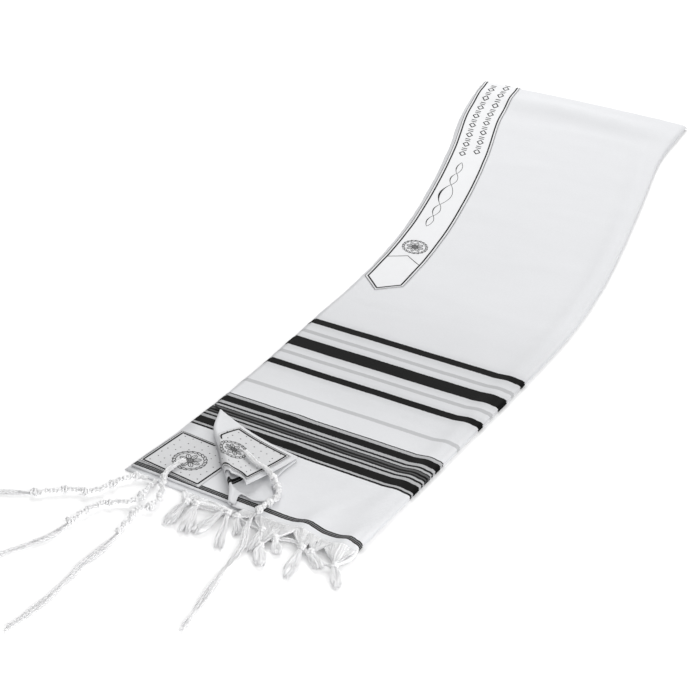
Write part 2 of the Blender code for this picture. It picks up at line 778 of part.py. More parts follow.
def build():
    group = clear_scene()
    cloth = cloth_material("shawl cloth", (0.86, 0.87, 0.89), 0.85, 0.3)
    satin = cloth_material("neckband satin", (0.88, 0.89, 0.91), 0.45, 0.1)
    patch = cloth_material("patch satin", (0.86, 0.87, 0.89), 0.45, 0.1)
    yarn = cloth_material("tzitzit yarn", (0.90, 0.90, 0.90), 0.80, 0.2)
    fringe = cloth_material("fringe yarn", (0.88, 0.88, 0.90), 0.85, 0.3)

    add_folded_layers(cloth, group)
    cut = turn_cut(INNER_TURN, INNER_LOW)
    add_wall("top_layer", top_layer_grid(cut), LAYER, cloth, group)
    inner = turn_grid(INNER_TURN, INNER_LOW, INNER_ROWS)[::-1]
    outer = turn_grid(OUTER_TURN, OUTER_LOW, OUTER_ROWS)[::-1]
    add_wall("turned_corner_inner", inner, LAYER, cloth, group)
    add_wall("turned_corner_outer", outer, LAYER, cloth, group)
    add_patch_a(patch, group)
    add_patch_b(patch, group)
    add_neckband(satin, group)
    for name in ROUTES:
        union_object(name, tzitzit_bodies(name), yarn, group)
    add_fringe("fringe_top", TOP_FRINGE, top_hem, fringe, group)
    add_fringe("fringe_lower", LOWER_FRINGE, lower_hem, fringe, group)


build()
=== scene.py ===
# %% [markdown]
# # A folded prayer shawl
# A tallit is one rectangle of white cloth with dark stripes, a neckband along the neck edge, a
# patch on each corner, a knotted tassel (tzitzit) in each patch, and fringed ends. Here it lies
# folded in four with one near corner turned back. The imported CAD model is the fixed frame: it
# says where every piece is, and this script dresses it in cloth, satin and yarn.

# %% Load the frame
import json
import math

import bpy
import numpy as np
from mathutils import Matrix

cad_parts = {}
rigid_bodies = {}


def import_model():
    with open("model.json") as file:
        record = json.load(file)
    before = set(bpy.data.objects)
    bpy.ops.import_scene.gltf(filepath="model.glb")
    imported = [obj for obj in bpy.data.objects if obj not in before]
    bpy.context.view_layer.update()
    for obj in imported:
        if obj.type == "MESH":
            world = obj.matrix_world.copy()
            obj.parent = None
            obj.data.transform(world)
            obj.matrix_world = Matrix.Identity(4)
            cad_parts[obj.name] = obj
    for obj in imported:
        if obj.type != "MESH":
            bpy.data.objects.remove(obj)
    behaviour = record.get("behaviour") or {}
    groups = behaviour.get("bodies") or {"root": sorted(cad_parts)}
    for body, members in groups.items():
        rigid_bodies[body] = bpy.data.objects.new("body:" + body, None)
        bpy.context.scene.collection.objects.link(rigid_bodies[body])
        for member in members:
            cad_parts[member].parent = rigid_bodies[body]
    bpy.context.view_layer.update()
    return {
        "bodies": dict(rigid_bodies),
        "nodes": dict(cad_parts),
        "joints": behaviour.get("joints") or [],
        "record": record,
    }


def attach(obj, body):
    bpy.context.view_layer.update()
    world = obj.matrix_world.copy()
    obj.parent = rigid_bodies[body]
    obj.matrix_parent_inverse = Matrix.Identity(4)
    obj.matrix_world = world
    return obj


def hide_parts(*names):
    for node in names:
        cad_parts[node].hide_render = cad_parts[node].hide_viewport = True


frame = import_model()

# %% [markdown]
# ## Camera
# The photo's own perspective gives the camera: the stripes meet in one far point and the two
# selvedges in another, which fixes the focal length, the height and the direction. A long lens
# from two and a half metres away looks down at about 30 degrees.

# %% Set the camera
CAMERA_TARGET = (-0.0570, -0.1536, 0.0)
CAMERA_DISTANCE = 2.5303
CAMERA_DOWN, CAMERA_TURN = math.radians(29.8), math.radians(30.0)
FOCAL_MM, SENSOR_MM = 139.3, 36.0


def add_object(name, data):
    made = bpy.data.objects.new(name, data)
    bpy.context.scene.collection.objects.link(made)
    return made


def add_camera():
    data = bpy.data.cameras.new("camera")
    data.lens, data.sensor_width, data.clip_start = FOCAL_MM, SENSOR_MM, 0.05
    camera = add_object("camera", data)
    flat = CAMERA_DISTANCE * math.cos(CAMERA_DOWN)
    camera.location = (
        CAMERA_TARGET[0] + flat * math.sin(CAMERA_TURN),
        CAMERA_TARGET[1] - flat * math.cos(CAMERA_TURN),
        CAMERA_TARGET[2] + CAMERA_DISTANCE * math.sin(CAMERA_DOWN),
    )
    camera.rotation_euler = (math.pi / 2 - CAMERA_DOWN, 0.0, CAMERA_TURN)
    bpy.context.scene.camera = camera
    print("camera at", [round(c, 3) for c in camera.location])


add_camera()

# %% [markdown]
# ## How the shawl lies
# One short table describes the folded cloth from above. A row is one weft, a thread that runs
# across the cloth, given by its distance from the near hem and by its two ends. Every later piece
# asks this table where it is, so the stripes, the band and the folds all bend together.

# %% The plan of the folded cloth
LAYER, GAP, CLOTH = 0.0011, 0.0003, 0.0008
THIRD_TOP, SECOND_TOP = 2 * LAYER, 3 * LAYER
TOP_FACE = SECOND_TOP + GAP + LAYER


def metres(rows):
    """A table written in millimetres."""
    return np.array(rows, dtype=float) / 1000


# Distance along the cloth, then x and y of the weft's left end and of its right end.
PLAN = metres((
    (0, -121.5, -432.5, 118.0, -451.5),
    (88, -115.5, -350.0, 116.5, -362.0),
    (190, -113.6, -250.0, 115.4, -258.0),
    (320, -116.5, -120.0, 114.1, -127.0),
    (420, -119.8, -20.0, 110.0, -26.0),
    (520, -132.2, 80.0, 96.0, 75.0),
    (620, -155.0, 180.0, 73.5, 177.0),
    (710, -181.2, 270.0, 50.5, 269.0),
    (800, -212.0, 360.0, 27.2, 362.0),
    (885, -231.0, 443.0, 18.5, 449.0),
))
FOLDED_LENGTH = float(PLAN[-1, 0])
FOLD_REACH = 0.0050
SIDE_FOLD_LOW, FAR_FOLD_LOW = THIRD_TOP + 0.0009, 0.0009
FLAT_END = FOLDED_LENGTH - FOLD_REACH


def smooth_rows(table, at):
    """A table's columns at any stations, on a smooth curve through its rows."""
    stations, values = table[:, 0], table[:, 1:]
    slopes = np.gradient(values, stations, axis=0)
    at = np.asarray(at, dtype=float)
    i = np.clip(np.searchsorted(stations, at) - 1, 0, len(stations) - 2)
    span = (stations[i + 1] - stations[i])[..., None]
    t = (at - stations[i])[..., None] / span
    start = (2 * t**3 - 3 * t**2 + 1) * values[i] + (t**3 - 2 * t**2 + t) * span * slopes[i]
    end = (3 * t**2 - 2 * t**3) * values[i + 1] + (t**3 - t**2) * span * slopes[i + 1]
    return start + end


def weft(along):
    """The left end of a weft, its direction and its length."""
    ends = smooth_rows(PLAN, along)
    left, right = ends[..., :2], ends[..., 2:]
    width = np.linalg.norm(right - left, axis=-1)
    return left, (right - left) / width[..., None], width


# %% [markdown]
# ## Ridges and creases
# Soft cloth never lies quite flat. The swells are broad humps at the far end and along the edges.
# The creases are finer ridges and troughs: each has a direction across the cloth, a length and a
# width, and it fades out at its ends. Both are listed in tables.

# %% Swells and creases of the top layer
# Height, place and width along the cloth, place and width across it.
SWELLS = metres((
    (6.4, 850, 19, 120, 110),
    (1.6, 842, 18, 190, 50),
    (2.2, 880, 14, 130, 120),
    (1.2, 790, 30, 130, 120),
    (2.2, 560, 280, 216, 8.5),
    (1.8, 160, 120, 217, 8.5),
    (4.2, 4, 40, 186, 11),
    (4.0, 6, 36, 228, 8),
))
# Degrees from the weft, then height, place along, place across, length and width in mm.
CREASES = (
    (4, 0.8, 806, 150, 60, 10),
    (20, 0.5, 700, 60, 60, 9),
    (12, -0.4, 640, 150, 55, 10),
    (-8, 0.4, 590, 90, 70, 11),
    (15, 0.5, 520, 165, 50, 9),
    (8, -0.4, 470, 70, 60, 12),
    (-6, 0.4, 410, 140, 60, 9),
    (10, -0.4, 365, 60, 45, 8),
    (6, 0.5, 210, 90, 55, 7),
    (-5, -0.4, 200, 180, 40, 6),
    (28, 0.9, 120, 112, 24, 6),
    (30, 0.7, 150, 70, 26, 5),
    (70, 0.6, 60, 172, 30, 7),
    (74, -0.6, 52, 196, 26, 6),
    (40, 0.5, 45, 140, 22, 6),
)
RIPPLE = 0.00018


def cloth_height(along, across):
    """How far the top layer rises over its flat level."""
    total = np.zeros(np.broadcast(along, across).shape)
    for height, middle, length, beside, width in SWELLS:
        lengthwise, crosswise = (along - middle) / length, (across - beside) / width
        total += height * np.exp(-(lengthwise**2) - crosswise**2)
    for degrees, *sizes in CREASES:
        turn = math.radians(degrees)
        height, middle, beside, length, width = metres(sizes)
        x, y = across - beside, along - middle
        run = (x * math.cos(turn) + y * math.sin(turn)) / length
        off = (y * math.cos(turn) - x * math.sin(turn)) / width
        total += height * np.exp(-(run**4) - off**2)
    ripple = np.sin(61 * along + 23 * across) * np.sin(37 * across - 29 * along + 1.3)
    ripple += 0.6 * np.sin(143 * along - 61 * across + 0.7) * np.sin(97 * across + 31 * along)
    return total + RIPPLE * ripple


def top_surface(along, across, far_turn=0.0, side_turn=0.0):
    """Points of the top layer's upper face; the turns are angles round its two folds."""
    along, across, far_turn, side_turn = np.broadcast_arrays(along, across, far_turn, side_turn)
    left, direction, _ = weft(along)
    square = np.stack([-direction[..., 1], direction[..., 0]], axis=-1)
    reach = across + FOLD_REACH * np.sin(side_turn)
    plan = left + direction * reach[..., None]
    plan = plan + square * (FOLD_REACH * np.sin(far_turn))[..., None]
    low = SIDE_FOLD_LOW + (FAR_FOLD_LOW - SIDE_FOLD_LOW) * np.sin(far_turn)
    crest = TOP_FACE + cloth_height(along, across)
    height = low + (crest - low) * np.cos(far_turn) * np.cos(side_turn)
    return np.concatenate([plan, height[..., None]], axis=-1)


print("shape by hand:", len(SWELLS), "swells and", len(CREASES), "creases")

# %% [markdown]
# ## From points to cloth
# Each cloth is a grid of points that becomes a mesh with a UV map in metres: U runs along a weft
# and V along the cloth. A pattern that reads this map keeps its true size wherever the cloth
# bends. Solidify then gives the sheet its thickness.

# %% Mesh helpers


def grid_object(name, points, u, v, material):
    rows, columns = points.shape[:2]
    index = np.arange(rows * columns).reshape(rows, columns)
    corners = [index[:-1, :-1], index[:-1, 1:], index[1:, 1:], index[1:, :-1]]
    faces = np.stack(corners, axis=-1).reshape(-1, 4)
    mesh = bpy.data.meshes.new(name)
    mesh.from_pydata(points.reshape(-1, 3).tolist(), [], faces.tolist())
    uv = np.stack(np.broadcast_arrays(u, v), axis=-1).reshape(-1, 2)
    mesh.uv_layers.new(name="cloth").data.foreach_set("uv", uv[faces.ravel()].ravel())
    mesh.materials.append(material)
    mesh.shade_smooth()
    return add_object(name, mesh)


def thicken(piece, thickness):
    solidify = piece.modifiers.new("thickness", "SOLIDIFY")
    solidify.thickness, solidify.offset, solidify.use_even_offset = thickness, -1.0, True


def grid_normals(points):
    normals = np.cross(np.gradient(points, axis=1), np.gradient(points, axis=0))
    return normals / np.linalg.norm(normals, axis=-1, keepdims=True)


def travelled(points, axis):
    """How far each point lies along its line."""
    total = np.cumsum(np.linalg.norm(np.diff(points, axis=axis), axis=-1), axis=axis)
    return np.concatenate([np.zeros_like(np.take(total, [0], axis=axis)), total], axis=axis)


def at_share(line, at, share):
    """Points of a line at any shares of the way, where `at` says how far its own points are."""
    return np.column_stack([np.interp(share, at, line[:, k]) for k in range(3)])


def surface_area(piece):
    area = sum(face.area for face in piece.data.polygons)
    print(piece.name, "area", round(area, 5), "square metres")
    return area


def dress(piece, slot, *nodes):
    """The piece stands for CAD nodes and rides on the shawl; its slot is not used."""
    if nodes:
        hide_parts(*nodes)
    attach(piece, "root")
    print(piece.name, len(piece.data.polygons), "faces")


# %% [markdown]
# ## The cloth's finish
# The shawl is a plain weave of white yarn, with stripes woven in black and grey across it. The
# stripes are a table of edges, in millimetres from the hem, that fills a colour ramp read along V.
# Each warp yarn shifts the edges by a hair, so that they look woven and not printed. Close to the
# wide black bands the white is a little greyer. The weave is a small bump from two sine waves, and
# the black yarn shines a little more.

# %% Node helpers


def wire(tree, node, inputs):
    """Give a node's inputs, named or numbered, their links or values."""
    for key, value in inputs.items():
        if isinstance(value, bpy.types.NodeSocket):
            tree.links.new(value, node.inputs[key])
        else:
            node.inputs[key].default_value = value
    return node


def add_node(tree, kind, inputs=(), **settings):
    node = tree.nodes.new(kind)
    for key, value in settings.items():
        setattr(node, key, value)
    return wire(tree, node, dict(inputs))


def maths(tree, operation, *values):
    return add_node(tree, "ShaderNodeMath", enumerate(values), operation=operation).outputs[0]


def new_material(name):
    material = bpy.data.materials.new(name)
    material.use_nodes = True
    return material, material.node_tree, material.node_tree.nodes["Principled BSDF"]


def metres_on_cloth(tree):
    """The cloth's own map in metres, and its U and V."""
    uv = add_node(tree, "ShaderNodeUVMap", uv_map="cloth").outputs["UV"]
    split = add_node(tree, "ShaderNodeSeparateXYZ", {0: uv}).outputs
    return uv, split[0], split[1]


def noise(tree, vector, scale, detail=2.0):
    inputs = {"Vector": vector, "Scale": scale, "Detail": detail}
    return add_node(tree, "ShaderNodeTexNoise", inputs).outputs["Fac"]


def colour(shade, green=1.0, blue=1.0):
    return (shade, shade * green, shade * blue, 1.0)


def mixed(tree, share, a, b):
    return add_node(tree, "ShaderNodeMix", {0: share, 6: a, 7: b}, data_type="RGBA").outputs[2]


def bump(tree, height, distance, strength):
    inputs = {"Height": height, "Distance": distance, "Strength": strength}
    return add_node(tree, "ShaderNodeBump", inputs).outputs["Normal"]


# %% Stripes
WHITE, GREY_LINE, GROUP_WHITE = 0.675, 0.49, 0.40
END_GREY, MID_GREY, GROUP_GREY = 0.21, 0.170, 0.085
SOFT_BLACK, BLACK = 0.009, 0.0020
COOL = (1.008, 1.03)
YARN = 0.00065
EDGE_SHIFT = 0.0004
NEAR_LENGTH, FAR_LENGTH, WASH_LENGTH = 0.06, 0.34, 0.45
FAR_BANDS_FROM = 0.055

# A shade holds from its place, in mm from the hem, to the next one's.
END_STRIPE = (
    (0.0, WHITE),
    (10.0, SOFT_BLACK), (11.5, END_GREY), (12.3, SOFT_BLACK), (13.5, END_GREY), (14.3, SOFT_BLACK),
    (16.0, WHITE),
)
CORNER_STRIPE = (
    (0.0, WHITE), (9.0, SOFT_BLACK), (12.0, MID_GREY), (13.0, SOFT_BLACK), (17.5, WHITE)
)
STRIPES = (
    (0.0, WHITE),
    (97.9, SOFT_BLACK), (100.0, GROUP_WHITE), (102.9, BLACK), (113.6, GROUP_WHITE),
    (117.1, SOFT_BLACK), (120.4, GROUP_WHITE), (123.4, SOFT_BLACK), (124.9, GROUP_GREY),
    (126.7, BLACK), (129.3, GROUP_GREY), (131.7, SOFT_BLACK), (133.5, GROUP_WHITE),
    (136.2, SOFT_BLACK), (139.3, GROUP_WHITE), (142.5, BLACK), (152.5, GROUP_WHITE),
    (155.5, SOFT_BLACK), (157.6, WHITE),
    (182.6, GREY_LINE), (188.2, WHITE),
    (222.8, BLACK), (232.1, WHITE),
    (245.2, GREY_LINE), (250.5, WHITE),
    (261.0, BLACK), (277.8, WHITE),
    (287.8, GREY_LINE), (293.2, WHITE),
    (305.9, BLACK), (315.3, WHITE),
)
# Shares of the white that is left beside the black bands, with smooth steps between them.
WASH = (
    (0.0, 1.0), (165.0, 0.975), (200.0, 0.945), (213.0, 0.92), (221.0, 0.83), (234.0, 0.83),
    (240.0, 0.90), (253.0, 0.90), (259.5, 0.80), (279.5, 0.80), (285.0, 0.89), (297.0, 0.89),
    (304.5, 0.80), (317.0, 0.84), (325.0, 0.93), (350.0, 0.945), (430.0, 1.0),
)
print("stripes:", len(STRIPES), "stops, and", len(END_STRIPE), "at the hem")

# %% [markdown]
# ## The weave
# Real cloth could be built yarn by yarn, but a shawl has thousands of them. A material can say the
# same: the ramps colour it, fine noise makes the yarn uneven, and the bump lets light catch on it.

# %% The shawl's finish


def cloth_ramp(tree, along, stops, length, steps="CONSTANT", tint=COOL):
    """A colour ramp that reads the distance along the cloth."""
    inputs = {0: maths(tree, "DIVIDE", along, length)}
    ramp = add_node(tree, "ShaderNodeValToRGB", inputs)
    ramp.color_ramp.interpolation = steps
    elements = ramp.color_ramp.elements
    elements.remove(elements[1])
    for place, shade in stops:
        stop = elements[0] if place == 0.0 else elements.new(place / 1000 / length)
        stop.color = colour(shade, *tint)
    return ramp.outputs[0]


def cloth_material(name, near_bands, far_bands=()):
    """White weave with bands near the hem and, on the shawl itself, further along it."""
    material, tree, shader = new_material(name)
    uv, across, along = metres_on_cloth(tree)
    yarn = maths(tree, "FLOOR", maths(tree, "DIVIDE", across, YARN))
    chance = add_node(tree, "ShaderNodeTexWhiteNoise", {"W": yarn}, noise_dimensions="1D")
    shift = maths(tree, "MULTIPLY_ADD", chance.outputs["Value"], EDGE_SHIFT, -EDGE_SHIFT / 2)
    edge = maths(tree, "ADD", along, shift)
    woven = cloth_ramp(tree, edge, near_bands, NEAR_LENGTH)
    inputs = {0: uv, 1: (0.45, 1.0, 1.0)}
    drawn = add_node(tree, "ShaderNodeVectorMath", inputs, operation="MULTIPLY").outputs[0]
    wide, slub = noise(tree, drawn, 30.0, 3.0), noise(tree, uv, 420.0)
    tint = maths(tree, "MULTIPLY_ADD", wide, 0.05, 0.955)
    tint = maths(tree, "MULTIPLY_ADD", slub, 0.05, tint)
    if far_bands:
        beyond = maths(tree, "GREATER_THAN", along, FAR_BANDS_FROM)
        woven = mixed(tree, beyond, woven, cloth_ramp(tree, edge, far_bands, FAR_LENGTH))
        wash = cloth_ramp(tree, along, WASH, WASH_LENGTH, "LINEAR", (1.0, 1.0))
        tint = maths(tree, "MULTIPLY", tint, wash)
    inputs = {0: woven, "Scale": tint}
    toned = add_node(tree, "ShaderNodeVectorMath", inputs, operation="SCALE").outputs[0]
    dark = maths(tree, "SUBTRACT", 1.0, maths(tree, "DIVIDE", woven, WHITE))
    warp, fill = (
        maths(tree, "SINE", maths(tree, "MULTIPLY", way, math.pi / YARN)) for way in (across, along)
    )
    grain = maths(tree, "MULTIPLY_ADD", slub, 1.5, maths(tree, "MULTIPLY", warp, fill))
    grain = maths(tree, "MULTIPLY_ADD", wide, 5.0, grain)
    wire(tree, shader, {
        "Base Color": toned,
        "Roughness": maths(tree, "MULTIPLY_ADD", dark, -0.18, 0.90),
        "Normal": bump(tree, grain, 0.00012, 0.6),
        "Sheen Weight": 0.01,
        "Specular IOR Level": 0.05,
    })
    print(name, "has", len(near_bands) + len(far_bands), "stops")
    return material


shawl_weave = cloth_material("shawl weave", END_STRIPE, STRIPES)
corner_weave = cloth_material("turned corner weave", CORNER_STRIPE)

# %% [markdown]
# ## The turned corner's form
# One near corner of the two upper layers is rolled back over itself. Its shape is a loft: a row
# of a table is one section, from the underside of the roll, round it, and over the flap to the
# free edge. The flat layers stop beside the roll, so the same sections say where they are cut.

# %% Sections of the turned corner
# Share of the way from far to near, then in mm: x and y of the fold and of the tip, sideways bow,
# height of the roll and of the tip, and how far the flap dips between them.


def turn_table(rows):
    return np.array([(share, *metres(sizes)) for share, *sizes in rows])


OUTER_TURN = turn_table((
    (0.00, -98.3, -315.6, 4.4, -350.2, 4.0, 8.5, 8.2, 0.6),
    (0.33, -85.0, -346.5, 1.0, -373.0, 1.5, 10.5, 9.2, 0.6),
    (0.66, -64.0, -371.0, -2.5, -396.0, 0.0, 13.0, 11.5, 0.8),
    (1.00, -37.0, -404.2, -5.9, -418.9, -4.0, 15.6, 14.8, 1.2),
))
INNER_TURN = turn_table((
    (0.00, -95.4, -317.6, 5.0, -353.0, 4.0, 6.8, 6.2, 0.6),
    (0.26, -81.0, -348.8, 3.4, -374.0, 1.5, 8.4, 6.2, 1.0),
    (0.50, -59.6, -373.8, 7.2, -397.5, 0.0, 10.0, 6.4, 1.8),
    (0.68, -40.0, -398.0, 18.7, -419.0, 0.0, 11.2, 7.2, 3.6),
    (0.79, -32.0, -409.0, 8.0, -427.2, 0.0, 11.0, 8.0, 4.2),
    (0.89, -22.5, -420.5, -7.5, -424.6, 0.0, 10.2, 8.0, 1.2),
    (1.00, -11.8, -438.5, -4.5, -439.5, 0.0, 7.6, 6.6, 0.0),
))
print("turned corner:", len(OUTER_TURN), "outer sections and", len(INNER_TURN), "inner ones")

# %% [markdown]
# ## From the tables to the roll
# A fold could be simulated, but then nobody could say where it ends up. Here each section is a half
# turn round the roll and a bowed line to the tip, so the roll keeps the form that was drawn.

# %% Bend a section
OUTER_LOW, INNER_LOW = THIRD_TOP + GAP, SECOND_TOP + 2 * GAP
ROLL_FLATTEN = 0.7
CUT_CLEARANCE = 0.0014
CUT_LEAD = metres(((-3, 6), (-19, 13)))
ROLL_STEPS, FLAP_STEPS = 24, 44


def turn_section(table, share, low):
    """One section: round the roll from its underside, then over the flap to its edge."""
    fold_x, fold_y, tip_x, tip_y, bow, roll_top, tip_top, dip = smooth_rows(table, share)
    fold, tip = np.array([fold_x, fold_y]), np.array([tip_x, tip_y])
    reach = np.linalg.norm(tip - fold)
    across = (tip - fold) / reach
    sideways = np.array([across[1], -across[0]])
    radius = (roll_top - low) / 2
    width = min(radius * (1 + ROLL_FLATTEN * share), reach / 2.4)
    turn = np.linspace(-math.pi / 2, math.pi / 2, ROLL_STEPS + 1)
    roll = fold + across * (width * (1 - np.cos(turn)))[:, None]
    roll = np.column_stack([roll, low + radius * (1 + np.sin(turn))])
    t = np.linspace(0, 1, FLAP_STEPS + 1)[1:]
    flap = fold + across * (width + t * (reach - width))[:, None]
    flap = flap + sideways * (bow * np.sin(math.pi * t))[:, None]
    height = roll_top + (tip_top - roll_top) * t - dip * np.sin(math.pi * np.sqrt(t))
    return np.vstack([roll, np.column_stack([flap, height])])


def turn_sections(table, low, shares):
    return np.array([turn_section(table, share, low) for share in shares])


def turn_cut(table, low):
    """Where a flat layer stops beside the roll, from near to far and on to its free edge."""
    sections = turn_sections(table, low, np.linspace(1, 0, 24))
    line = sections[:, 0, :2]
    across = sections[:, -1, :2] - line
    line = line + across / np.linalg.norm(across, axis=1, keepdims=True) * CUT_CLEARANCE
    return np.vstack([line, line[-1] + CUT_LEAD])


def free_edge(along, inset, cut):
    """Distance from each weft's left end to a layer's edge: its selvedge or the turned corner."""
    left, direction, _ = weft(along)
    start = np.full(along.shape, inset)
    for _ in range(4):
        y = left[:, 1] + direction[:, 1] * start
        edge = (np.interp(y, cut[:, 1], cut[:, 0]) - left[:, 0]) / direction[:, 0]
        start = np.where(y < cut[-1, 1], np.maximum(inset, edge), start)
    return start


print("cut beside the roll:", len(turn_cut(OUTER_TURN, OUTER_LOW)), "points")

# %% [markdown]
# ## The top layer
# This is the cloth that shows: a thin sheet that runs round the lengthwise fold on the right and
# the cross fold at the far end. It is a fine grid on the plan table, so it takes every swell and
# crease, and its free edge wavers a little as a selvedge does.

# %% Make the top layer
TOP_HEM, TOP_INSET = 0.0020, 0.0050
TOP_ROWS, TOP_COLUMNS, FOLD_STEPS = 330, 92, 9


def waver(along, seed, size):
    """A slow uneven wave along an edge."""
    wave = np.sin(83 * along + seed) + 0.6 * np.sin(211 * along + 2.1 * seed)
    return size * (wave + 0.4 * np.sin(507 * along + 3.7 * seed))


def make_top_layer():
    fold = np.linspace(0, math.pi / 2, FOLD_STEPS + 1)[1:]
    far_turn = np.concatenate([np.zeros(TOP_ROWS), fold])[:, None]
    along = np.linspace(TOP_HEM, FLAT_END, TOP_ROWS)
    along = np.concatenate([along, np.full(FOLD_STEPS, FLAT_END)])
    start = free_edge(along, TOP_INSET, turn_cut(INNER_TURN, INNER_LOW))
    start = (start + waver(along, 1.0, 0.00022))[:, None]
    flat_right = (weft(along)[2] - FOLD_REACH)[:, None]
    across = start + (flat_right - start) * np.linspace(0, 1, TOP_COLUMNS)
    across = np.hstack([across, np.repeat(flat_right, FOLD_STEPS, axis=1)])
    side_turn = np.concatenate([np.zeros(TOP_COLUMNS), fold])
    points = top_surface(along[:, None], across, far_turn, side_turn)
    u, v = across + FOLD_REACH * side_turn, along[:, None] + FOLD_REACH * far_turn
    return grid_object("shawl_top", points, u, v, shawl_weave)


shawl_top = make_top_layer()
thicken(shawl_top, CLOTH)
dress(shawl_top, "shawl cloth", "top_layer")

# %% [markdown]
# ## The layers under it
# The free edges of the three hidden layers show as thin lines on the left and at the hem. The two
# lowest are one sheet folded along its length, and the next lies on them. Their stripes are the
# same, because the four quarters of the cloth mirror each other.

# %% Make the hidden layers
LOWER_HEM, THIRD_HEM, SECOND_HEM = 0.0, 0.0075, 0.0040
LOWER_INSET, THIRD_INSET, SECOND_INSET = 0.0006, 0.0016, 0.0032
SECOND_SIDE_INSET = FOLD_REACH + 0.0012
HIDDEN_END = FLAT_END - 0.0015
HIDDEN_ROWS, HIDDEN_COLUMNS = 260, 14
CUT_OVERTAKE = 0.0030


def make_lower_fold():
    """The two lowest layers: top face from left to right, round the fold, and back below."""
    radius = THIRD_TOP / 2
    t = np.linspace(0, 1, HIDDEN_COLUMNS)
    turn = np.linspace(0, math.pi, 2 * FOLD_STEPS + 1)[1:-1]
    below = np.concatenate([0 * t, (1 - np.cos(turn)) / 2, 0 * t + 1])
    hem = THIRD_HEM + (LOWER_HEM - THIRD_HEM) * below
    along = hem + (HIDDEN_END - hem) * np.linspace(0, 1, HIDDEN_ROWS)[:, None]
    left, direction, width = weft(along)
    fold = (width - radius)[:, :1]
    upper_edge = THIRD_INSET + waver(along[:, :1], 2.0, 0.00025)
    lower_edge = LOWER_INSET + waver(along[:, :1], 4.0, 0.00022)
    over, under = upper_edge + (fold - upper_edge) * t, fold + (lower_edge - fold) * t
    across = np.hstack([over, fold + radius * np.sin(turn), under])
    height = np.broadcast_to(THIRD_TOP * (1 - below), across.shape)
    points = np.concatenate([left + direction * across[..., None], height[..., None]], axis=-1)
    return grid_object("shawl_lower_fold", points, across, along, shawl_weave)


def make_second_layer():
    cut = turn_cut(OUTER_TURN, OUTER_LOW)
    beyond = turn_cut(INNER_TURN, INNER_LOW)
    cut = np.vstack([beyond[beyond[:, 1] < cut[0, 1] - CUT_OVERTAKE], cut])
    along = np.linspace(SECOND_HEM, HIDDEN_END - LAYER, HIDDEN_ROWS)
    start = free_edge(along, SECOND_INSET, cut) + waver(along, 3.0, 0.00022)
    left, direction, width = weft(along)
    span = (width - SECOND_SIDE_INSET - start)[:, None]
    across = start[:, None] + span * np.linspace(0, 1, HIDDEN_COLUMNS)
    plan = left[:, None] + direction[:, None] * across[..., None]
    points = np.concatenate([plan, np.full((*across.shape, 1), SECOND_TOP)], axis=-1)
    return grid_object("shawl_second", points, across, along[:, None], shawl_weave)


shawl_lower_fold = make_lower_fold()
thicken(shawl_lower_fold, CLOTH)
dress(shawl_lower_fold, "shawl cloth", "folded_layers")

shawl_second = make_second_layer()
thicken(shawl_second, CLOTH)
dress(shawl_second, "shawl cloth")

# %% [markdown]
# ## The two cloths of the turned corner
# Each is the loft of its sections, with a faint crumple. The inner cloth's free end carries the
# end stripe, which shows as a dark arch inside the roll, so its map measures V back from that end
# and bends it beside the roll. The outer cloth shows no stripe, so its V starts far before one.

# %% Make the turned corner
TURN_ROWS = 60
ARCH_STRIPE, NO_STRIPE = 0.0165, 0.5
ARCH_BEND_IN, ARCH_BEND_OUT = 0.009, 0.006


def make_turned(name, table, low, crumple, stripe_at, bend_at):
    points = turn_sections(table, low, np.linspace(1, 0, TURN_ROWS))
    u, v = travelled(points, 1), travelled(points, 0) - stripe_at
    beside = (np.arange(points.shape[1]) / ROLL_STEPS - bend_at) * 2
    v = v + ARCH_BEND_IN * np.clip(-beside, 0, 1) ** 2
    v = v - ARCH_BEND_OUT * np.clip(beside, 0, None) ** 2
    fade = np.sin(np.pi * np.linspace(0, 1, points.shape[1])) ** 0.5
    wave = np.sin(210 * u + 70 * v) * np.sin(150 * v - 60 * u + 1.0)
    points = points - grid_normals(points) * (np.abs(wave) * fade * crumple)[..., None]
    return grid_object(name, points, u, v, corner_weave)


for name, node, table, low, crumple, stripe_at, bend_at, flat in (
    ("turned_inner", "turned_corner_inner", INNER_TURN, INNER_LOW,
     0.0003, ARCH_STRIPE, 0.85, (0.105, 0.125)),
    ("turned_outer", "turned_corner_outer", OUTER_TURN, OUTER_LOW,
     0.0002, NO_STRIPE, 0.0, (0.108, 0.105)),
):
    piece = make_turned(name, table, low, crumple, stripe_at, bend_at)
    area = surface_area(piece)
    thicken(piece, CLOTH)
    dress(piece, "shawl cloth", node)

# %% [markdown]
# ## Satin for the neckband and the patches
# The band and the patches are woven satin: smoother than the shawl, with fine ribs across. Their
# black lines are separate threads laid on top, so the satin itself stays plain. The patches' satin
# has a darker colour than the band's: painted shade for the near corner, which gets less light.

# %% Satin
SATIN, SATIN_LIFT, SATIN_RIB = 0.0005, 0.00058, 0.0009


def satin_material(name, shade):
    material, tree, shader = new_material(name)
    uv, _, along = metres_on_cloth(tree)
    cloudy = maths(tree, "MULTIPLY", noise(tree, uv, 60.0, 3.0), 0.6)
    fine = noise(tree, uv, 900.0)
    rib = maths(tree, "SINE", maths(tree, "MULTIPLY", along, 2 * math.pi / SATIN_RIB))
    wire(tree, shader, {
        "Base Color": mixed(tree, cloudy, colour(shade, *COOL), colour(0.93 * shade)),
        "Roughness": maths(tree, "MULTIPLY_ADD", fine, 0.12, 0.52),
        "Normal": bump(tree, maths(tree, "ADD", rib, fine), 0.00006, 0.5),
        "Sheen Weight": 0.12,
        "Specular IOR Level": 0.18,
    })
    return material


neckband_satin = satin_material("neckband satin", 0.675)
# The same satin as the band with a darker colour: painted shade on the patches at the near corner.
shaded_patch_satin = satin_material("patch satin", 0.545)
print("satins:", neckband_satin.name, "and", shaded_patch_satin.name)

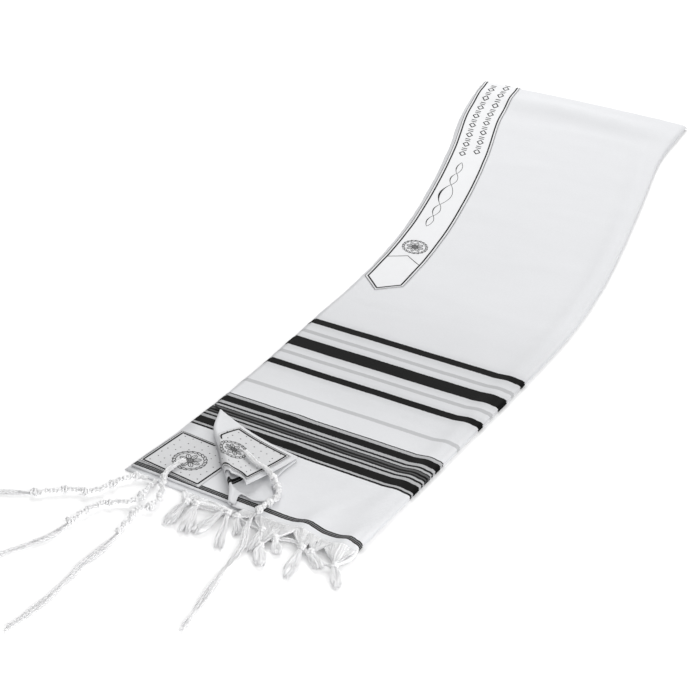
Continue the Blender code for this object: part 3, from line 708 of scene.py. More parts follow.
# %% [markdown]
# ## Neckband
# A strip of satin sewn along the neck edge. It starts at the middle of that edge, here at the far
# fold, and ends in a point. It is made from the top layer's own surface, moved out by its
# thickness, so it follows every swell of the cloth under it.

# %% Make the neckband
BAND_LEFT, BAND_WIDTH, BAND_END = 0.0058, 0.0440, 0.4130
BAND_MIDDLE = BAND_WIDTH / 2
BAND_POINT, BAND_POINT_REACH = 0.0200, 0.0300
BAND_ROWS, BAND_COLUMNS = 240, 28


def raised(surface, x, y, height):
    """Points over a surface function, moved out along its normal, and the normals."""
    step = 0.0002
    over = surface(x + step, y) - surface(x - step, y)
    normal = np.cross(over, surface(x, y + step) - surface(x, y - step))
    normal /= np.linalg.norm(normal, axis=-1, keepdims=True)
    return surface(x, y) + normal * height, normal


def band_surface(x, y):
    """The cloth under the band, from its left edge and from the shoulders of its point."""
    along = np.minimum(BAND_END + y, FLAT_END)
    turn = np.clip((BAND_END + y - FLAT_END) / FOLD_REACH, 0.0, math.pi / 2)
    return top_surface(along, BAND_LEFT + x, turn)


def make_neckband():
    x = np.linspace(0, BAND_WIDTH, BAND_COLUMNS)[None, :]
    rows = np.linspace(0, FLAT_END - BAND_END + FOLD_REACH * 1.2, BAND_ROWS)[:, None]
    point = BAND_POINT * (1 - np.abs(x / BAND_MIDDLE - 1))
    y = rows - point * np.maximum(0, 1 - rows / BAND_POINT_REACH)
    points, _ = raised(band_surface, np.broadcast_to(x, y.shape), y, SATIN_LIFT)
    return grid_object("neckband_satin", points, x, y, neckband_satin)


neckband = make_neckband()
thicken(neckband, SATIN)
dress(neckband, "neckband satin", "neckband")

# %% [markdown]
# ## Corner patches
# Two of the four satin patches show. One lies on the third layer beside the roll, and stops where
# the roll begins. The other is on the flap of the turned corner, and is made from the flap's own
# sections, moved out. It reaches round the roll at its near end.

# %% Make the patches
PATCH_STEPS = 48
LYING_LOW_LEFT, LYING_LOW_RIGHT = metres(((-118.2, -416.0), (-49.0, -427.2)))
LYING_TOP_LEFT, LYING_TOP_RIGHT = metres(((-111.8, -356.0), (-44.0, -364.0)))
ROLL_CLEARANCE = 0.0006
TURNED_SHARES = (0.055, 0.965)
TURNED_START, TURNED_MARGIN = 0.030, 0.0050
ROUND_ROLL_FROM, ROUND_ROLL_TO = 0.44, 0.80


def lying_patch_grid():
    """Rows from the hem side to the far side, columns from the free edge to the roll."""
    sections = turn_sections(OUTER_TURN, OUTER_LOW, np.linspace(1, 0, 40))
    roll = sections[:, ROLL_STEPS // 2, :2]
    rows, plan = np.linspace(0, 1, PATCH_STEPS), []
    for t in rows:
        left = LYING_LOW_LEFT + (LYING_TOP_LEFT - LYING_LOW_LEFT) * t
        right = LYING_LOW_RIGHT + (LYING_TOP_RIGHT - LYING_LOW_RIGHT) * t
        for _ in range(4):
            limit = np.interp(right[1], roll[:, 1], roll[:, 0]) - ROLL_CLEARANCE
            if right[1] > roll[0, 1] and right[0] > limit:
                right = left + (right - left) * (limit - left[0]) / (right[0] - left[0])
        plan.append(left + (right - left) * rows[:, None])
    height = np.full((PATCH_STEPS, PATCH_STEPS, 1), THIRD_TOP + SATIN_LIFT)
    return np.concatenate([np.array(plan), height], axis=-1)


def turned_patch_grid():
    grid = []
    first, last = TURNED_SHARES
    for share in np.linspace(last, first, PATCH_STEPS):
        section = turn_section(OUTER_TURN, share, OUTER_LOW)
        at = travelled(section, 0)
        side, top = at[ROLL_STEPS // 2], at[ROLL_STEPS]
        on_flap = 1 - (share - first) / (ROUND_ROLL_FROM - first)
        round_roll = (share - ROUND_ROLL_FROM) / (ROUND_ROLL_TO - ROUND_ROLL_FROM)
        start = top + TURNED_START * max(0.0, on_flap)
        start -= (top - side) * min(1.0, max(0.0, round_roll))
        grid.append(at_share(section, at, np.linspace(start, at[-1] - TURNED_MARGIN, PATCH_STEPS)))
    grid = np.array(grid)
    return grid + grid_normals(grid) * SATIN_LIFT


lying_grid, turned_grid = lying_patch_grid(), turned_patch_grid()
for name, grid, under in (
    ("patch_lying", lying_grid, "shawl_lower_fold"),
    ("patch_turned", turned_grid, "turned_outer"),
):
    u, v = travelled(grid, 1), travelled(grid, 0)
    piece = grid_object(name + "_satin", grid, u, v, shaded_patch_satin)
    thicken(piece, SATIN)
    dress(piece, "patch satin", name)
    area = surface_area(piece)

# %% [markdown]
# ## Yarn and thread
# Everything from here on is thread: woven lines on the satin, stitches, tassels and fringe. Python
# works out the paths as plain poly lines, and three Geometry Nodes trees turn them into thread: one
# sweeps a flat woven line, one twists plies round each path, and one sets stitches along it.

# %% Yarn finish


def yarn_material(name, shade, fibre_scale, woolly=False):
    """Matt yarn: soft and cloudy, with a bump of fine fibres. Wool also lets light through."""
    material, tree, shader = new_material(name)
    place = tree.nodes.new("ShaderNodeTexCoord").outputs["Object"]
    dull = colour(0.93 * shade, 1.0, 0.95 / 0.93)
    wire(tree, shader, {
        "Base Color": mixed(tree, noise(tree, place, 350.0, 3.0), dull, colour(shade)),
        "Normal": bump(tree, noise(tree, place, fibre_scale), 0.00015, 0.6),
        "Roughness": 0.9,
        "Specular IOR Level": 0.15,
    })
    if woolly:
        wire(tree, shader, {
            "Sheen Weight": 0.30,
            "Subsurface Weight": 0.60,
            "Subsurface Scale": 0.0030,
            "Subsurface Radius": (1.0, 1.0, 1.0),
        })
    return material


tzitzit_yarn = yarn_material("tzitzit yarn", 0.985, 2600.0, woolly=True)
fringe_yarn = yarn_material("fringe yarn", 0.985, 2100.0, woolly=True)
white_thread = yarn_material("white sewing thread", 0.80, 3000.0, woolly=True)
black_thread = yarn_material("black woven thread", 0.016, 3000.0)
grey_thread = yarn_material("grey woven thread", 0.085, 3000.0)
print("materials so far:", len(bpy.data.materials))

# %% Helpers for the trees
SOCKET_KINDS = {"Plies": "Int", "Sides": "Int", "Material": "Material"}


def new_tree(name, *labels):
    """A tree that takes paths, named sizes and a material, its inputs, and its paths as curves."""
    tree = bpy.data.node_groups.new(name, "GeometryNodeTree")
    new_socket = tree.interface.new_socket
    new_socket("Path", in_out="INPUT", socket_type="NodeSocketGeometry")
    for label in (*labels, "Material"):
        kind = "NodeSocket" + SOCKET_KINDS.get(label, "Float")
        new_socket(label, in_out="INPUT", socket_type=kind)
    new_socket("Thread", in_out="OUTPUT", socket_type="NodeSocketGeometry")
    given = tree.nodes.new("NodeGroupInput").outputs
    curve = add_node(tree, "GeometryNodeMeshToCurve", {"Mesh": given["Path"]}).outputs[0]
    return tree, given, curve


def finish_tree(tree, thread, given):
    """Real thread in place of instances, with its material."""
    real = add_node(tree, "GeometryNodeRealizeInstances", {0: thread}).outputs[0]
    inputs = {"Geometry": real, "Material": given["Material"]}
    coated = add_node(tree, "GeometryNodeSetMaterial", inputs).outputs[0]
    wire(tree, tree.nodes.new("NodeGroupOutput"), {0: coated})
    return tree


def attribute(tree, name, kind="FLOAT"):
    node = add_node(tree, "GeometryNodeInputNamedAttribute", {"Name": name}, data_type=kind)
    return node.outputs["Attribute"]


def circle(tree, sides):
    inputs = {"Radius": 1.0, "Resolution": sides}
    return add_node(tree, "GeometryNodeCurvePrimitiveCircle", inputs).outputs[0]


def sweep(tree, curve, profile, scale):
    inputs = {"Curve": curve, "Profile Curve": profile, "Scale": scale, "Fill Caps": True}
    return add_node(tree, "GeometryNodeCurveToMesh", inputs).outputs[0]


def vector(tree, operation, a, b):
    inputs = {0: a, "Scale" if operation == "SCALE" else 1: b}
    return add_node(tree, "ShaderNodeVectorMath", inputs, operation=operation).outputs[0]


# %% [markdown]
# ## A woven line
# On the band a black line is a few flat threads woven side by side. A painted line would lie in the
# satin; a flat profile that is swept along the line stands a little above it and catches the light.

# %% Tree for woven lines


def woven_line_tree():
    """A woven line: a flat profile swept along each path, square to the satin under it."""
    tree, given, curve = new_tree("woven line", "Flatness")
    inputs = {"Curve": curve, "Normal": attribute(tree, "up", "FLOAT_VECTOR")}
    standing = add_node(tree, "GeometryNodeSetCurveNormal", inputs, mode="FREE")
    size =add_node(tree, "ShaderNodeCombineXYZ", {0: given["Flatness"], 1: 1.0, 2: 1.0})
    inputs = {"Geometry": circle(tree, 6), "Scale": size.outputs[0]}
    flat = add_node(tree, "GeometryNodeTransform", inputs).outputs[0]
    line = sweep(tree, standing.outputs[0], flat, attribute(tree, "thick"))
    return finish_tree(tree, line, given)


WOVEN_LINE = woven_line_tree()
print(WOVEN_LINE.name, "has", len(WOVEN_LINE.nodes), "nodes")

# %% [markdown]
# ## Twisted yarn
# Wool yarn is two plies twisted together. A plain tube would look like wire, and a texture would
# not change its outline, so each path is copied once per ply and the copies wind round each other.

# %% Tree for yarn


def twisted_yarn_tree():
    """Plies twisted round each path; every size is a share of the path's own thickness."""
    labels = ("Step", "Plies", "Twist Length", "Ply Reach", "Ply Size", "Sides")
    tree, given, curve = new_tree("twisted yarn", *labels)
    inputs = {"Curve": curve, "Length": given["Step"]}
    even = add_node(tree, "GeometryNodeResampleCurve", inputs, mode="LENGTH")
    inputs = {"Geometry": even.outputs[0], "Amount": given["Plies"]}
    copies = add_node(tree, "GeometryNodeDuplicateElements", inputs, domain="SPLINE")
    distance = tree.nodes.new("GeometryNodeSplineParameter").outputs["Length"]
    turns = maths(tree, "DIVIDE", distance, given["Twist Length"])
    share = maths(tree, "DIVIDE", copies.outputs["Duplicate Index"], given["Plies"])
    angle = maths(tree, "MULTIPLY", maths(tree, "ADD", turns, share), 2 * math.pi)
    normal = tree.nodes.new("GeometryNodeInputNormal").outputs["Normal"]
    tangent = tree.nodes.new("GeometryNodeInputTangent").outputs["Tangent"]
    side = vector(tree, "CROSS_PRODUCT", tangent, normal)
    thick = attribute(tree, "thick")
    reach = maths(tree, "MULTIPLY", thick, given["Ply Reach"])
    out, aside = (
        vector(tree, "SCALE", way, maths(tree, "MULTIPLY", maths(tree, wave, angle), reach))
        for way, wave in ((normal, "COSINE"), (side, "SINE"))
    )
    inputs = {"Geometry": copies.outputs["Geometry"], "Offset": vector(tree, "ADD", out, aside)}
    moved = add_node(tree, "GeometryNodeSetPosition", inputs).outputs[0]
    scale = maths(tree, "MULTIPLY", thick, given["Ply Size"])
    return finish_tree(tree, sweep(tree, moved, circle(tree, given["Sides"]), scale), given)


TWISTED_YARN = twisted_yarn_tree()
print(TWISTED_YARN.name, "has", len(TWISTED_YARN.nodes), "nodes")

# %% [markdown]
# ## Stitches
# The band and the patches are sewn on with short stitches. Each could be a piece of thread, but a
# stretched ball reads the same at this size, and one ball on evenly spaced points makes them all.

# %% Tree for stitches


def stitch_tree():
    """Short stitches set along each path, lying in its direction."""
    tree, given, curve = new_tree("stitches", "Spacing", "Length", "Thickness")
    inputs = {"Curve": curve, "Length": given["Spacing"]}
    spots = add_node(tree, "GeometryNodeCurveToPoints", inputs, mode="LENGTH").outputs
    inputs = {"Segments": 6, "Rings": 6, "Radius": 1.0}
    ball = add_node(tree, "GeometryNodeMeshUVSphere", inputs).outputs["Mesh"]
    sizes = {k: given[label] for k, label in enumerate(("Thickness", "Thickness", "Length"))}
    inputs = {
        "Points": spots["Points"],
        "Instance": ball,
        "Rotation": spots["Rotation"],
        "Scale": add_node(tree, "ShaderNodeCombineXYZ", sizes).outputs[0],
    }
    sewn = add_node(tree, "GeometryNodeInstanceOnPoints", inputs).outputs[0]
    return finish_tree(tree, sewn, given)


STITCHES = stitch_tree()
print(STITCHES.name, "has", len(STITCHES.nodes), "nodes")

# %% [markdown]
# ## From paths to thread
# The paths become a mesh of bare edges that carries each line's thickness. The modifier turns it
# into thread, and the result is kept as a plain mesh, so nothing has to be worked out again later.

# %% Make thread of paths


def threads(name, lines, tree, material, **sizes):
    """A plain mesh of thread. A line is its points, its thickness, and the way up at each point."""
    counts = [len(line[0]) for line in lines]
    thick = np.concatenate([np.broadcast_to(line[1], len(line[0])) for line in lines])
    edges = [
        np.column_stack([np.arange(count - 1), np.arange(1, count)]) + start
        for count, start in zip(counts, np.cumsum([0, *counts[:-1]]))
    ]
    paths = bpy.data.meshes.new(name)
    points = np.vstack([line[0] for line in lines])
    paths.from_pydata(points.tolist(), np.vstack(edges).tolist(), [])
    paths.attributes.new("thick", "FLOAT", "POINT").data.foreach_set("value", thick)
    if len(lines[0]) > 2:
        up = np.vstack([line[2] for line in lines]).ravel()
        paths.attributes.new("up", "FLOAT_VECTOR", "POINT").data.foreach_set("vector", up)
    piece = add_object(name, paths)
    modifier = piece.modifiers.new("thread", "NODES")
    modifier.node_group = tree
    values = {"Material": material, **{key.replace("_", " "): sizes[key] for key in sizes}}
    for item in tree.interface.items_tree:
        if item.name in values and item.in_out == "INPUT":
            modifier[item.identifier] = values[item.name]
    graph = bpy.context.evaluated_depsgraph_get()
    made = bpy.data.meshes.new_from_object(piece.evaluated_get(graph))
    made.name = name
    piece.modifiers.clear()
    piece.data = made
    made.shade_smooth()
    bpy.data.meshes.remove(paths)
    return piece


# %% [markdown]
# ## Woven lines of the neckband
# Traditional neckbands carry woven borders and ornament. The borders, the pointed frame at the end
# and the chain of arcs follow the real band. The other places get plain ornament: rows of small
# lozenges and bars, and a ring of leaves round a hatched rosette.

# %% Helpers for drawn lines
BORDER, FINE_LINE = 0.00086, 0.00040
FINER_LINE = 0.8 * FINE_LINE
LINE_STEP = 0.0020
LINE_LIFT = 0.00006
LEAF_LEAN = 1.15
FULL_TURN = 2 * math.pi


def straight(*corners):
    """Evenly spaced points along straight runs between corners."""
    corners = np.array(corners, dtype=float)
    runs = []
    for a, b in zip(corners, corners[1:]):
        steps = max(2, int(np.linalg.norm(b - a) / LINE_STEP))
        runs.append(a + (b - a) * np.linspace(0, 1, steps, endpoint=False)[:, None])
    return np.vstack([*runs, corners[-1:]])


def turned(points, centre, angle):
    c, s = math.cos(angle), math.sin(angle)
    return np.array(centre) + np.asarray(points) @ np.array([[c, s], [-s, c]])


def rosette(centre, radius, ring, leaf_length, leaves=18, petals=8):
    """A ring of leaves round a rosette of petals with a hatched middle."""
    lines = []
    t = np.linspace(0, FULL_TURN, 13)
    leaf = np.column_stack([0.5 * np.cos(t), 0.19 * np.sin(t) * (1 - 0.35 * np.cos(t))])
    for angle in FULL_TURN * np.arange(leaves) / leaves:
        place = turned(((ring, 0.0),), centre, angle)
        lines.append((turned(leaf * leaf_length, place, angle + LEAF_LEAN), FINE_LINE))
    t = np.linspace(0, FULL_TURN, 15)
    petal = np.column_stack([0.66 - 0.34 * np.cos(t), 0.20 * np.sin(t)]) * radius
    vein = np.array([[0.42, 0.0], [0.88, 0.0]]) * radius
    for angle in FULL_TURN * np.arange(petals) / petals:
        lines.append((turned(petal, centre, angle), FINE_LINE))
        lines.append((straight(*turned(vein, centre, angle)), FINER_LINE))
    middle = 0.32 * radius
    t = np.linspace(0, FULL_TURN, 19)
    lines.append((centre + middle * np.column_stack([np.cos(t), np.sin(t)]), FINE_LINE))
    for k in (-0.6, -0.2, 0.2, 0.6):
        half = middle * math.sqrt(1 - k * k) * 0.95
        for angle in (0.0, math.pi / 2):
            bar = turned(((k * middle, -half), (k * middle, half)), centre, angle)
            lines.append((straight(*bar), FINER_LINE))
    return lines


# %% Draw the band's lines
BAND_FAR = FLAT_END - BAND_END + 0.0040
BORDER_INSET, EDGE_INSET, STITCH_INSET = 0.0034, 0.0005, 0.0014
FRAME_LENGTH, FRAME_POINT = 0.0460, 0.0120
BAND_ROSETTE = ((BAND_MIDDLE, 0.0775), 0.0092, 0.0124, 0.0050)
CHAIN_ACROSS = 0.0178
# Start, end and reach of each pair of arcs, and how much thicker its black arc grows.
CHAIN = (
    (0.1230, 0.1465, 0.0034, 0.9),
    (0.1465, 0.1720, 0.0038, 0.9),
    (0.1720, 0.2180, 0.0068, 2.2),
    (0.2180, 0.2440, 0.0040, 0.9),
    (0.2440, 0.2700, 0.0032, 0.9),
)
ROWS_ACROSS, ROWS_FROM, ROW_PITCH, ROW_LINE = (0.0140, 0.0290), 0.2900, 0.0225, 0.00066
LOZENGE_TALL, LOZENGE_WIDE, BAR_HALF = 0.0052, 0.0036, 0.0030


def band_outline(inset, shoulder, tip):
    """The two halves of a line round the band, from its far end to its point."""
    point = (BAND_MIDDLE, tip - BAND_POINT)
    return [
        straight((x, BAND_FAR), (x, shoulder), point) for x in (inset, BAND_WIDTH - inset)
    ]


def band_lines():
    near, far = BORDER_INSET, BAND_WIDTH - BORDER_INSET
    border = band_outline(near, 0.35 * BORDER_INSET, 1.25 * BORDER_INSET)
    black = [(line, BORDER) for line in border]
    frame = straight(
        (near, FRAME_LENGTH), (BAND_MIDDLE, FRAME_LENGTH + FRAME_POINT), (far, FRAME_LENGTH)
    )
    grey = [(frame, FINE_LINE * 1.2)]
    edges = band_outline(EDGE_INSET, 0.0, 1.2 * EDGE_INSET)
    grey += [(line, FINE_LINE * 0.75) for line in edges]
    grey += rosette(*BAND_ROSETTE)
    t = np.linspace(0, 1, 24)
    for start, end, reach, growth in CHAIN:
        bow, y = reach * np.sin(math.pi * t) ** 0.85, start + (end - start) * t
        thick = FINE_LINE * (0.6 + growth * np.sin(math.pi * t) ** 2)
        black.append((np.column_stack([CHAIN_ACROSS - bow, y]), thick))
        grey.append((np.column_stack([CHAIN_ACROSS + bow, y]), FINER_LINE))
    tall, wide = LOZENGE_TALL, LOZENGE_WIDE
    lozenge = np.array(((0, -tall), (wide, 0), (0, tall), (-wide, 0), (0, -tall)))
    for row, x in enumerate(ROWS_ACROSS):
        for y in np.arange(ROWS_FROM + 0.5 * ROW_PITCH * row, BAND_FAR - 0.010, ROW_PITCH):
            black.append((straight(*(lozenge + (x, y))), ROW_LINE))
            for step in (0.0085, 0.0125):
                bar = straight((x - BAR_HALF, y + step), (x + BAR_HALF, y + step))
                black.append((bar, ROW_LINE))
    return black, grey


band_black, band_grey = band_lines()
print("band:", len(band_black), "black lines and", len(band_grey), "grey ones")

# %% [markdown]
# ## The lines laid on the satin
# The drawing is flat, and the band swells with the cloth. The lines could be projected on it, but
# the band has a formula, so each point is worked out on it, with the way up for its flat thread.

# %% Lay the lines on the band
# Spacing, half length and half thickness of the stitches.
BAND_STITCH = (0.0026, 0.0009, 0.00022)
FLATNESS = 0.35


def on_band(lines):
    """Lay flat lines on the band's face."""
    laid = []
    for points, thick in lines:
        face, up = raised(band_surface, points[:, 0], points[:, 1], SATIN_LIFT + LINE_LIFT)
        laid.append((face, thick, up))
    return laid


def lay_art(names, slot, lay, black, grey, edges, stitch):
    """Black woven lines, grey ones and a row of stitches, each a piece of its own."""
    spacing, length, thickness = stitch
    for name, lines, tree, material, sizes in (
        (names[0], black, WOVEN_LINE, black_thread, {"Flatness": FLATNESS}),
        (names[1], grey, WOVEN_LINE, grey_thread, {"Flatness": FLATNESS}),
        (names[2], [(edge, thickness) for edge in edges], STITCHES, white_thread,
         {"Spacing": spacing, "Length": length, "Thickness": thickness}),
    ):
        dress(threads(name, lay(lines), tree, material, **sizes), slot)


band_seam = band_outline(STITCH_INSET, 0.0, 0.0012)
names = ["neckband_" + ending for ending in ("black_lines", "grey_lines", "stitches")]
lay_art(names, "neckband satin", on_band, band_black, band_grey, band_seam, BAND_STITCH)

# %% [markdown]
# ## Woven lines of the patches
# Each patch has one black border, a field of scattered dots, and the same rosette. The lines are
# laid on the patch's own grid. Where the turned patch goes under its roll, they stop.

# %% A patch's own grid
RUN_OFF = 0.0008


class PatchMap:
    """Lays points, given in metres from two sides of a patch, on its grid."""

    def __init__(self, grid, from_far_side=False):
        normals = grid_normals(grid)
        if from_far_side:
            grid, normals = grid[:, ::-1], normals[:, ::-1]
        self.reach = travelled(grid, 1)
        self.length = travelled(grid, 0)[-1].mean()
        self.rows = np.concatenate([self.reach[..., None], grid, normals], axis=-1)

    def lay(self, points):
        last = len(self.rows) - 1
        at = np.clip(points[:, 1] / self.length, 0, 1) * last
        low = np.minimum(at.astype(int), last - 1)
        laid, inside = [], []
        for x, row, share in zip(points[:, 0], low, at - low):
            line = self.rows[row] * (1 - share) + self.rows[row + 1] * share
            laid.append([np.interp(x, line[:, 0], column) for column in line.T[1:]])
            inside.append(x < line[-1, 0] - RUN_OFF)
        face, up = np.split(np.array(laid), 2, axis=1)
        return face + up * LINE_LIFT, up, np.array(inside)

    def cover(self, lines):
        """Lay flat lines on the patch, and cut them where they run off it."""
        laid = []
        for points, thick in lines:
            face, up, inside = self.lay(points)
            thick = np.broadcast_to(thick, len(face))
            cuts = np.flatnonzero(np.diff(inside.astype(int))) + 1
            for run in np.split(np.arange(len(face)), cuts):
                if inside[run[0]] and len(run) > 1:
                    laid.append((face[run], thick[run], up[run]))
        return laid


lying_map, turned_map = PatchMap(lying_grid), PatchMap(turned_grid, from_far_side=True)
for patch_map in (lying_map, turned_map):
    print("patch length in mm:", round(1000 * patch_map.length, 1))

# %% Draw the patches' lines
PATCH_MARGIN, PATCH_EDGE = 0.0032, 0.0010
PATCH_ROSETTE, PATCH_RING, PATCH_LEAF, PATCH_LEAVES = 0.0108, 0.0146, 0.0062, 20
PATCH_STITCH = (0.0024, 0.0008, 0.0002)
DOT_PITCH, DOT_INSET, DOT_SHIFT, DOT_CLEARANCE = 0.0085, 0.006, 0.0016, 0.0040
DOT, DOT_LINE = (0.0009, 0.0004), 0.00050
LYING_WIDTH, LYING_BORDER, LYING_CENTRE = 0.0715, 0.0665, (0.0372, 0.0290)
TURNED_WIDTH, TURNED_CENTRE = 0.0900, (0.0440, 0.0290)


def patch_dots(width, length, centre, seed):
    rng = np.random.default_rng(seed)
    dots = []
    for x in np.arange(DOT_PITCH, width - DOT_INSET, DOT_PITCH):
        for y in np.arange(DOT_PITCH, length - DOT_INSET, DOT_PITCH):
            spot = np.array([x, y]) + rng.uniform(-DOT_SHIFT, DOT_SHIFT, 2)
            if np.linalg.norm(spot - centre) > PATCH_RING + DOT_CLEARANCE:
                dots.append((straight(spot, spot + DOT), DOT_LINE))
    return dots


def patch_art(name, patch, width, centre, border, seed):
    inset, far = PATCH_EDGE, patch.length - PATCH_EDGE
    edge = straight((width, inset), (inset, inset), (inset, far), (width, far))
    grey = rosette(centre, PATCH_ROSETTE, PATCH_RING, PATCH_LEAF, PATCH_LEAVES)
    grey += patch_dots(width, patch.length, centre, seed)
    grey.append((edge, FINE_LINE))
    names = [name + ending for ending in ("_black", "_grey", "_stitches")]
    lay_art(names, "patch satin", patch.cover, [(border, BORDER)], grey, [edge], PATCH_STITCH)


near, far = PATCH_MARGIN, lying_map.length - PATCH_MARGIN
lying_border = straight(
    (LYING_BORDER, near), (near, near), (near, far), (LYING_BORDER, far), (LYING_BORDER, near)
)
patch_art("patch_lying", lying_map, LYING_WIDTH, LYING_CENTRE, lying_border, 3)

far = turned_map.length - PATCH_MARGIN
side_y = np.linspace(far, 0.50 * far, 12)
side_rows = (side_y / turned_map.length * (PATCH_STEPS - 1)).astype(int)
roll_side = np.column_stack([turned_map.reach[side_rows, -1] - near, side_y])
turned_border = straight((TURNED_WIDTH, near), (near, near), (near, far), roll_side[0])
turned_border = np.vstack([turned_border, roll_side])
patch_art("patch_turned", turned_map, TURNED_WIDTH, TURNED_CENTRE, turned_border, 5)

# %% [markdown]
# ## Tzitzit
# Each corner tassel is made of eight strands. They pass through the patch's hole, are knotted and
# wound for the upper third, and hang loose below. The route of each tassel was read from the photo.
# The two on the left leave the picture, and end at the length of the others.

# %% Tzitzit routes
# Share of the route where the winding starts, share where it ends, and the route's stops in mm.
ROUTES = {
    "tzitzit_1": (0.03, 0.42, (
        (-95.0, -436.4, 2.2), (-105.0, -440.0, 3.6), (-113.3, -454.0, 3.6), (-122.6, -477.0, 3.6),
        (-144.0, -486.2, 3.4), (-160.0, -500.0, 3.2), (-192.2, -515.0, 2.8), (-228.0, -533.0, 2.6),
        (-260.0, -560.0, 2.6), (-280.0, -590.0, 2.6),
    )),
    "tzitzit_2": (0.03, 0.40, (
        (-86.5, -435.8, 2.1), (-85.0, -456.0, 3.6), (-84.0, -472.5, 3.6), (-92.5, -480.0, 3.6),
        (-104.5, -488.7, 3.6), (-110.0, -502.0, 3.6), (-113.0, -525.0, 3.2), (-116.0, -548.0, 2.8),
        (-124.0, -568.0, 2.6), (-136.8, -592.8, 2.6), (-148.0, -630.0, 2.6), (-153.0, -670.0, 2.6),
    )),
    "tzitzit_3": (0.10, 0.44, (
        (-80.6, -399.7, 5.4), (-83.8, -418.0, 5.6), (-80.0, -433.0, 6.6), (-70.6, -452.0, 4.4),
        (-66.8, -469.0, 3.6), (-73.2, -481.0, 3.6), (-71.5, -499.8, 3.6), (-69.4, -517.8, 3.6),
        (-68.0, -539.3, 3.2), (-69.0, -577.8, 2.8), (-66.4, -605.0, 2.6), (-66.8, -640.0, 2.6),
        (-69.4, -678.9, 2.6),
    )),
    "tzitzit_4": (0.17, 0.36, (
        (-35.1, -374.7, 15.2), (-18.0, -384.0, 14.8), (-2.0, -390.0, 14.2), (12.0, -398.5, 10.0),
        (21.2, -412.0, 8.0), (20.6, -426.0, 8.4), (18.0, -442.0, 8.8), (22.0, -460.0, 8.0),
        (30.5, -483.4, 5.0), (38.2, -536.8, 3.0), (44.5, -572.0, 2.6), (51.7, -609.0, 2.6),
    )),
}

print("stops:", {name: len(route[-1]) for name, route in ROUTES.items()})

# %% Helpers for yarn paths


def smooth_path(stops, count):
    """Evenly spaced points of a smooth curve through a route's stops."""
    table = np.column_stack([travelled(stops, 0), stops])
    return smooth_rows(table, np.linspace(0, table[-1, 0], count))


def frame_along(path):
    """The way ahead, to the side and up at each point of a path."""
    ahead = np.gradient(path, axis=0)
    ahead /= np.linalg.norm(ahead, axis=1, keepdims=True)
    side = np.cross(ahead, np.array([0.0, 0.0, 1.0]))
    side /= np.linalg.norm(side, axis=1, keepdims=True)
    return ahead, side, np.cross(side, ahead)


def pick(path, share):
    return at_share(path, np.linspace(0, 1, len(path)), share)


def pulled_loop(middle, across, over, radius, turns, steps, squash):
    """One loop of a knot, a little more than one turn round, and flatter than it is wide."""
    turn = np.linspace(0, FULL_TURN * turns, steps)[:, None]
    return middle + radius * (np.cos(turn) * across + squash * np.sin(turn) * over)


def off_floor(lines):
    """Keep every thread's axis at least its own thickness above the floor."""
    for points, thick in lines:
        points[:, 2] = np.maximum(points[:, 2], thick)


# %% [markdown]
# ## Strands over the patch
# Between the hole and the first knot the eight strands lie loose side by side. They could be one
# thick cord, but the gaps between them show, so each strand drifts a little on its own.

# %% Loose strands
STRANDS, STRAND = 8, 0.00095
LOOP_SPREAD, LOOP_LAYER = 0.0012, 0.00055


def loop_strands(path, rng):
    """The strands between the hole and the first knot, side by side in two layers."""
    _, side, up = frame_along(path)
    t = np.linspace(0, 1, len(path))
    lines = []
    for k in range(STRANDS):
        place = (k % 4 - 1.5) / 1.5
        drift = rng.uniform(0, FULL_TURN)
        across = LOOP_SPREAD * (place + 0.35 * np.sin(9 * t + drift))
        height = LOOP_LAYER * (2 * (k // 4) - 1) + 0.0003 * np.sin(12 * t + drift)
        lines.append((path + side * across[:, None] + up * height[:, None], STRAND))
    return lines


# %% [markdown]
# ## Windings and knots
# Below the first knot one strand is wound round the others, and five double knots hold it. A real
# knot is hard to route and shows only as a lump, so three tight loops that lean apart stand for it.

# %% Wind and knot
KNOTS = 5
WOUND_CORE, WOUND_RADIUS = 0.0020, 0.0014
WINDING, WINDING_PITCH, WINDING_STEPS = 0.00110, 0.0034, 12
WOBBLE = 0.0010
KNOT_SIZE, KNOT_YARN = 0.0021, 0.0012
# Lean, shift along the tassel and size of the three loops of a knot.
KNOT_LOOPS = ((0.75, -0.0012, 1.0), (-0.7, 0.0012, 1.05), (0.1, 0.0, 1.25))


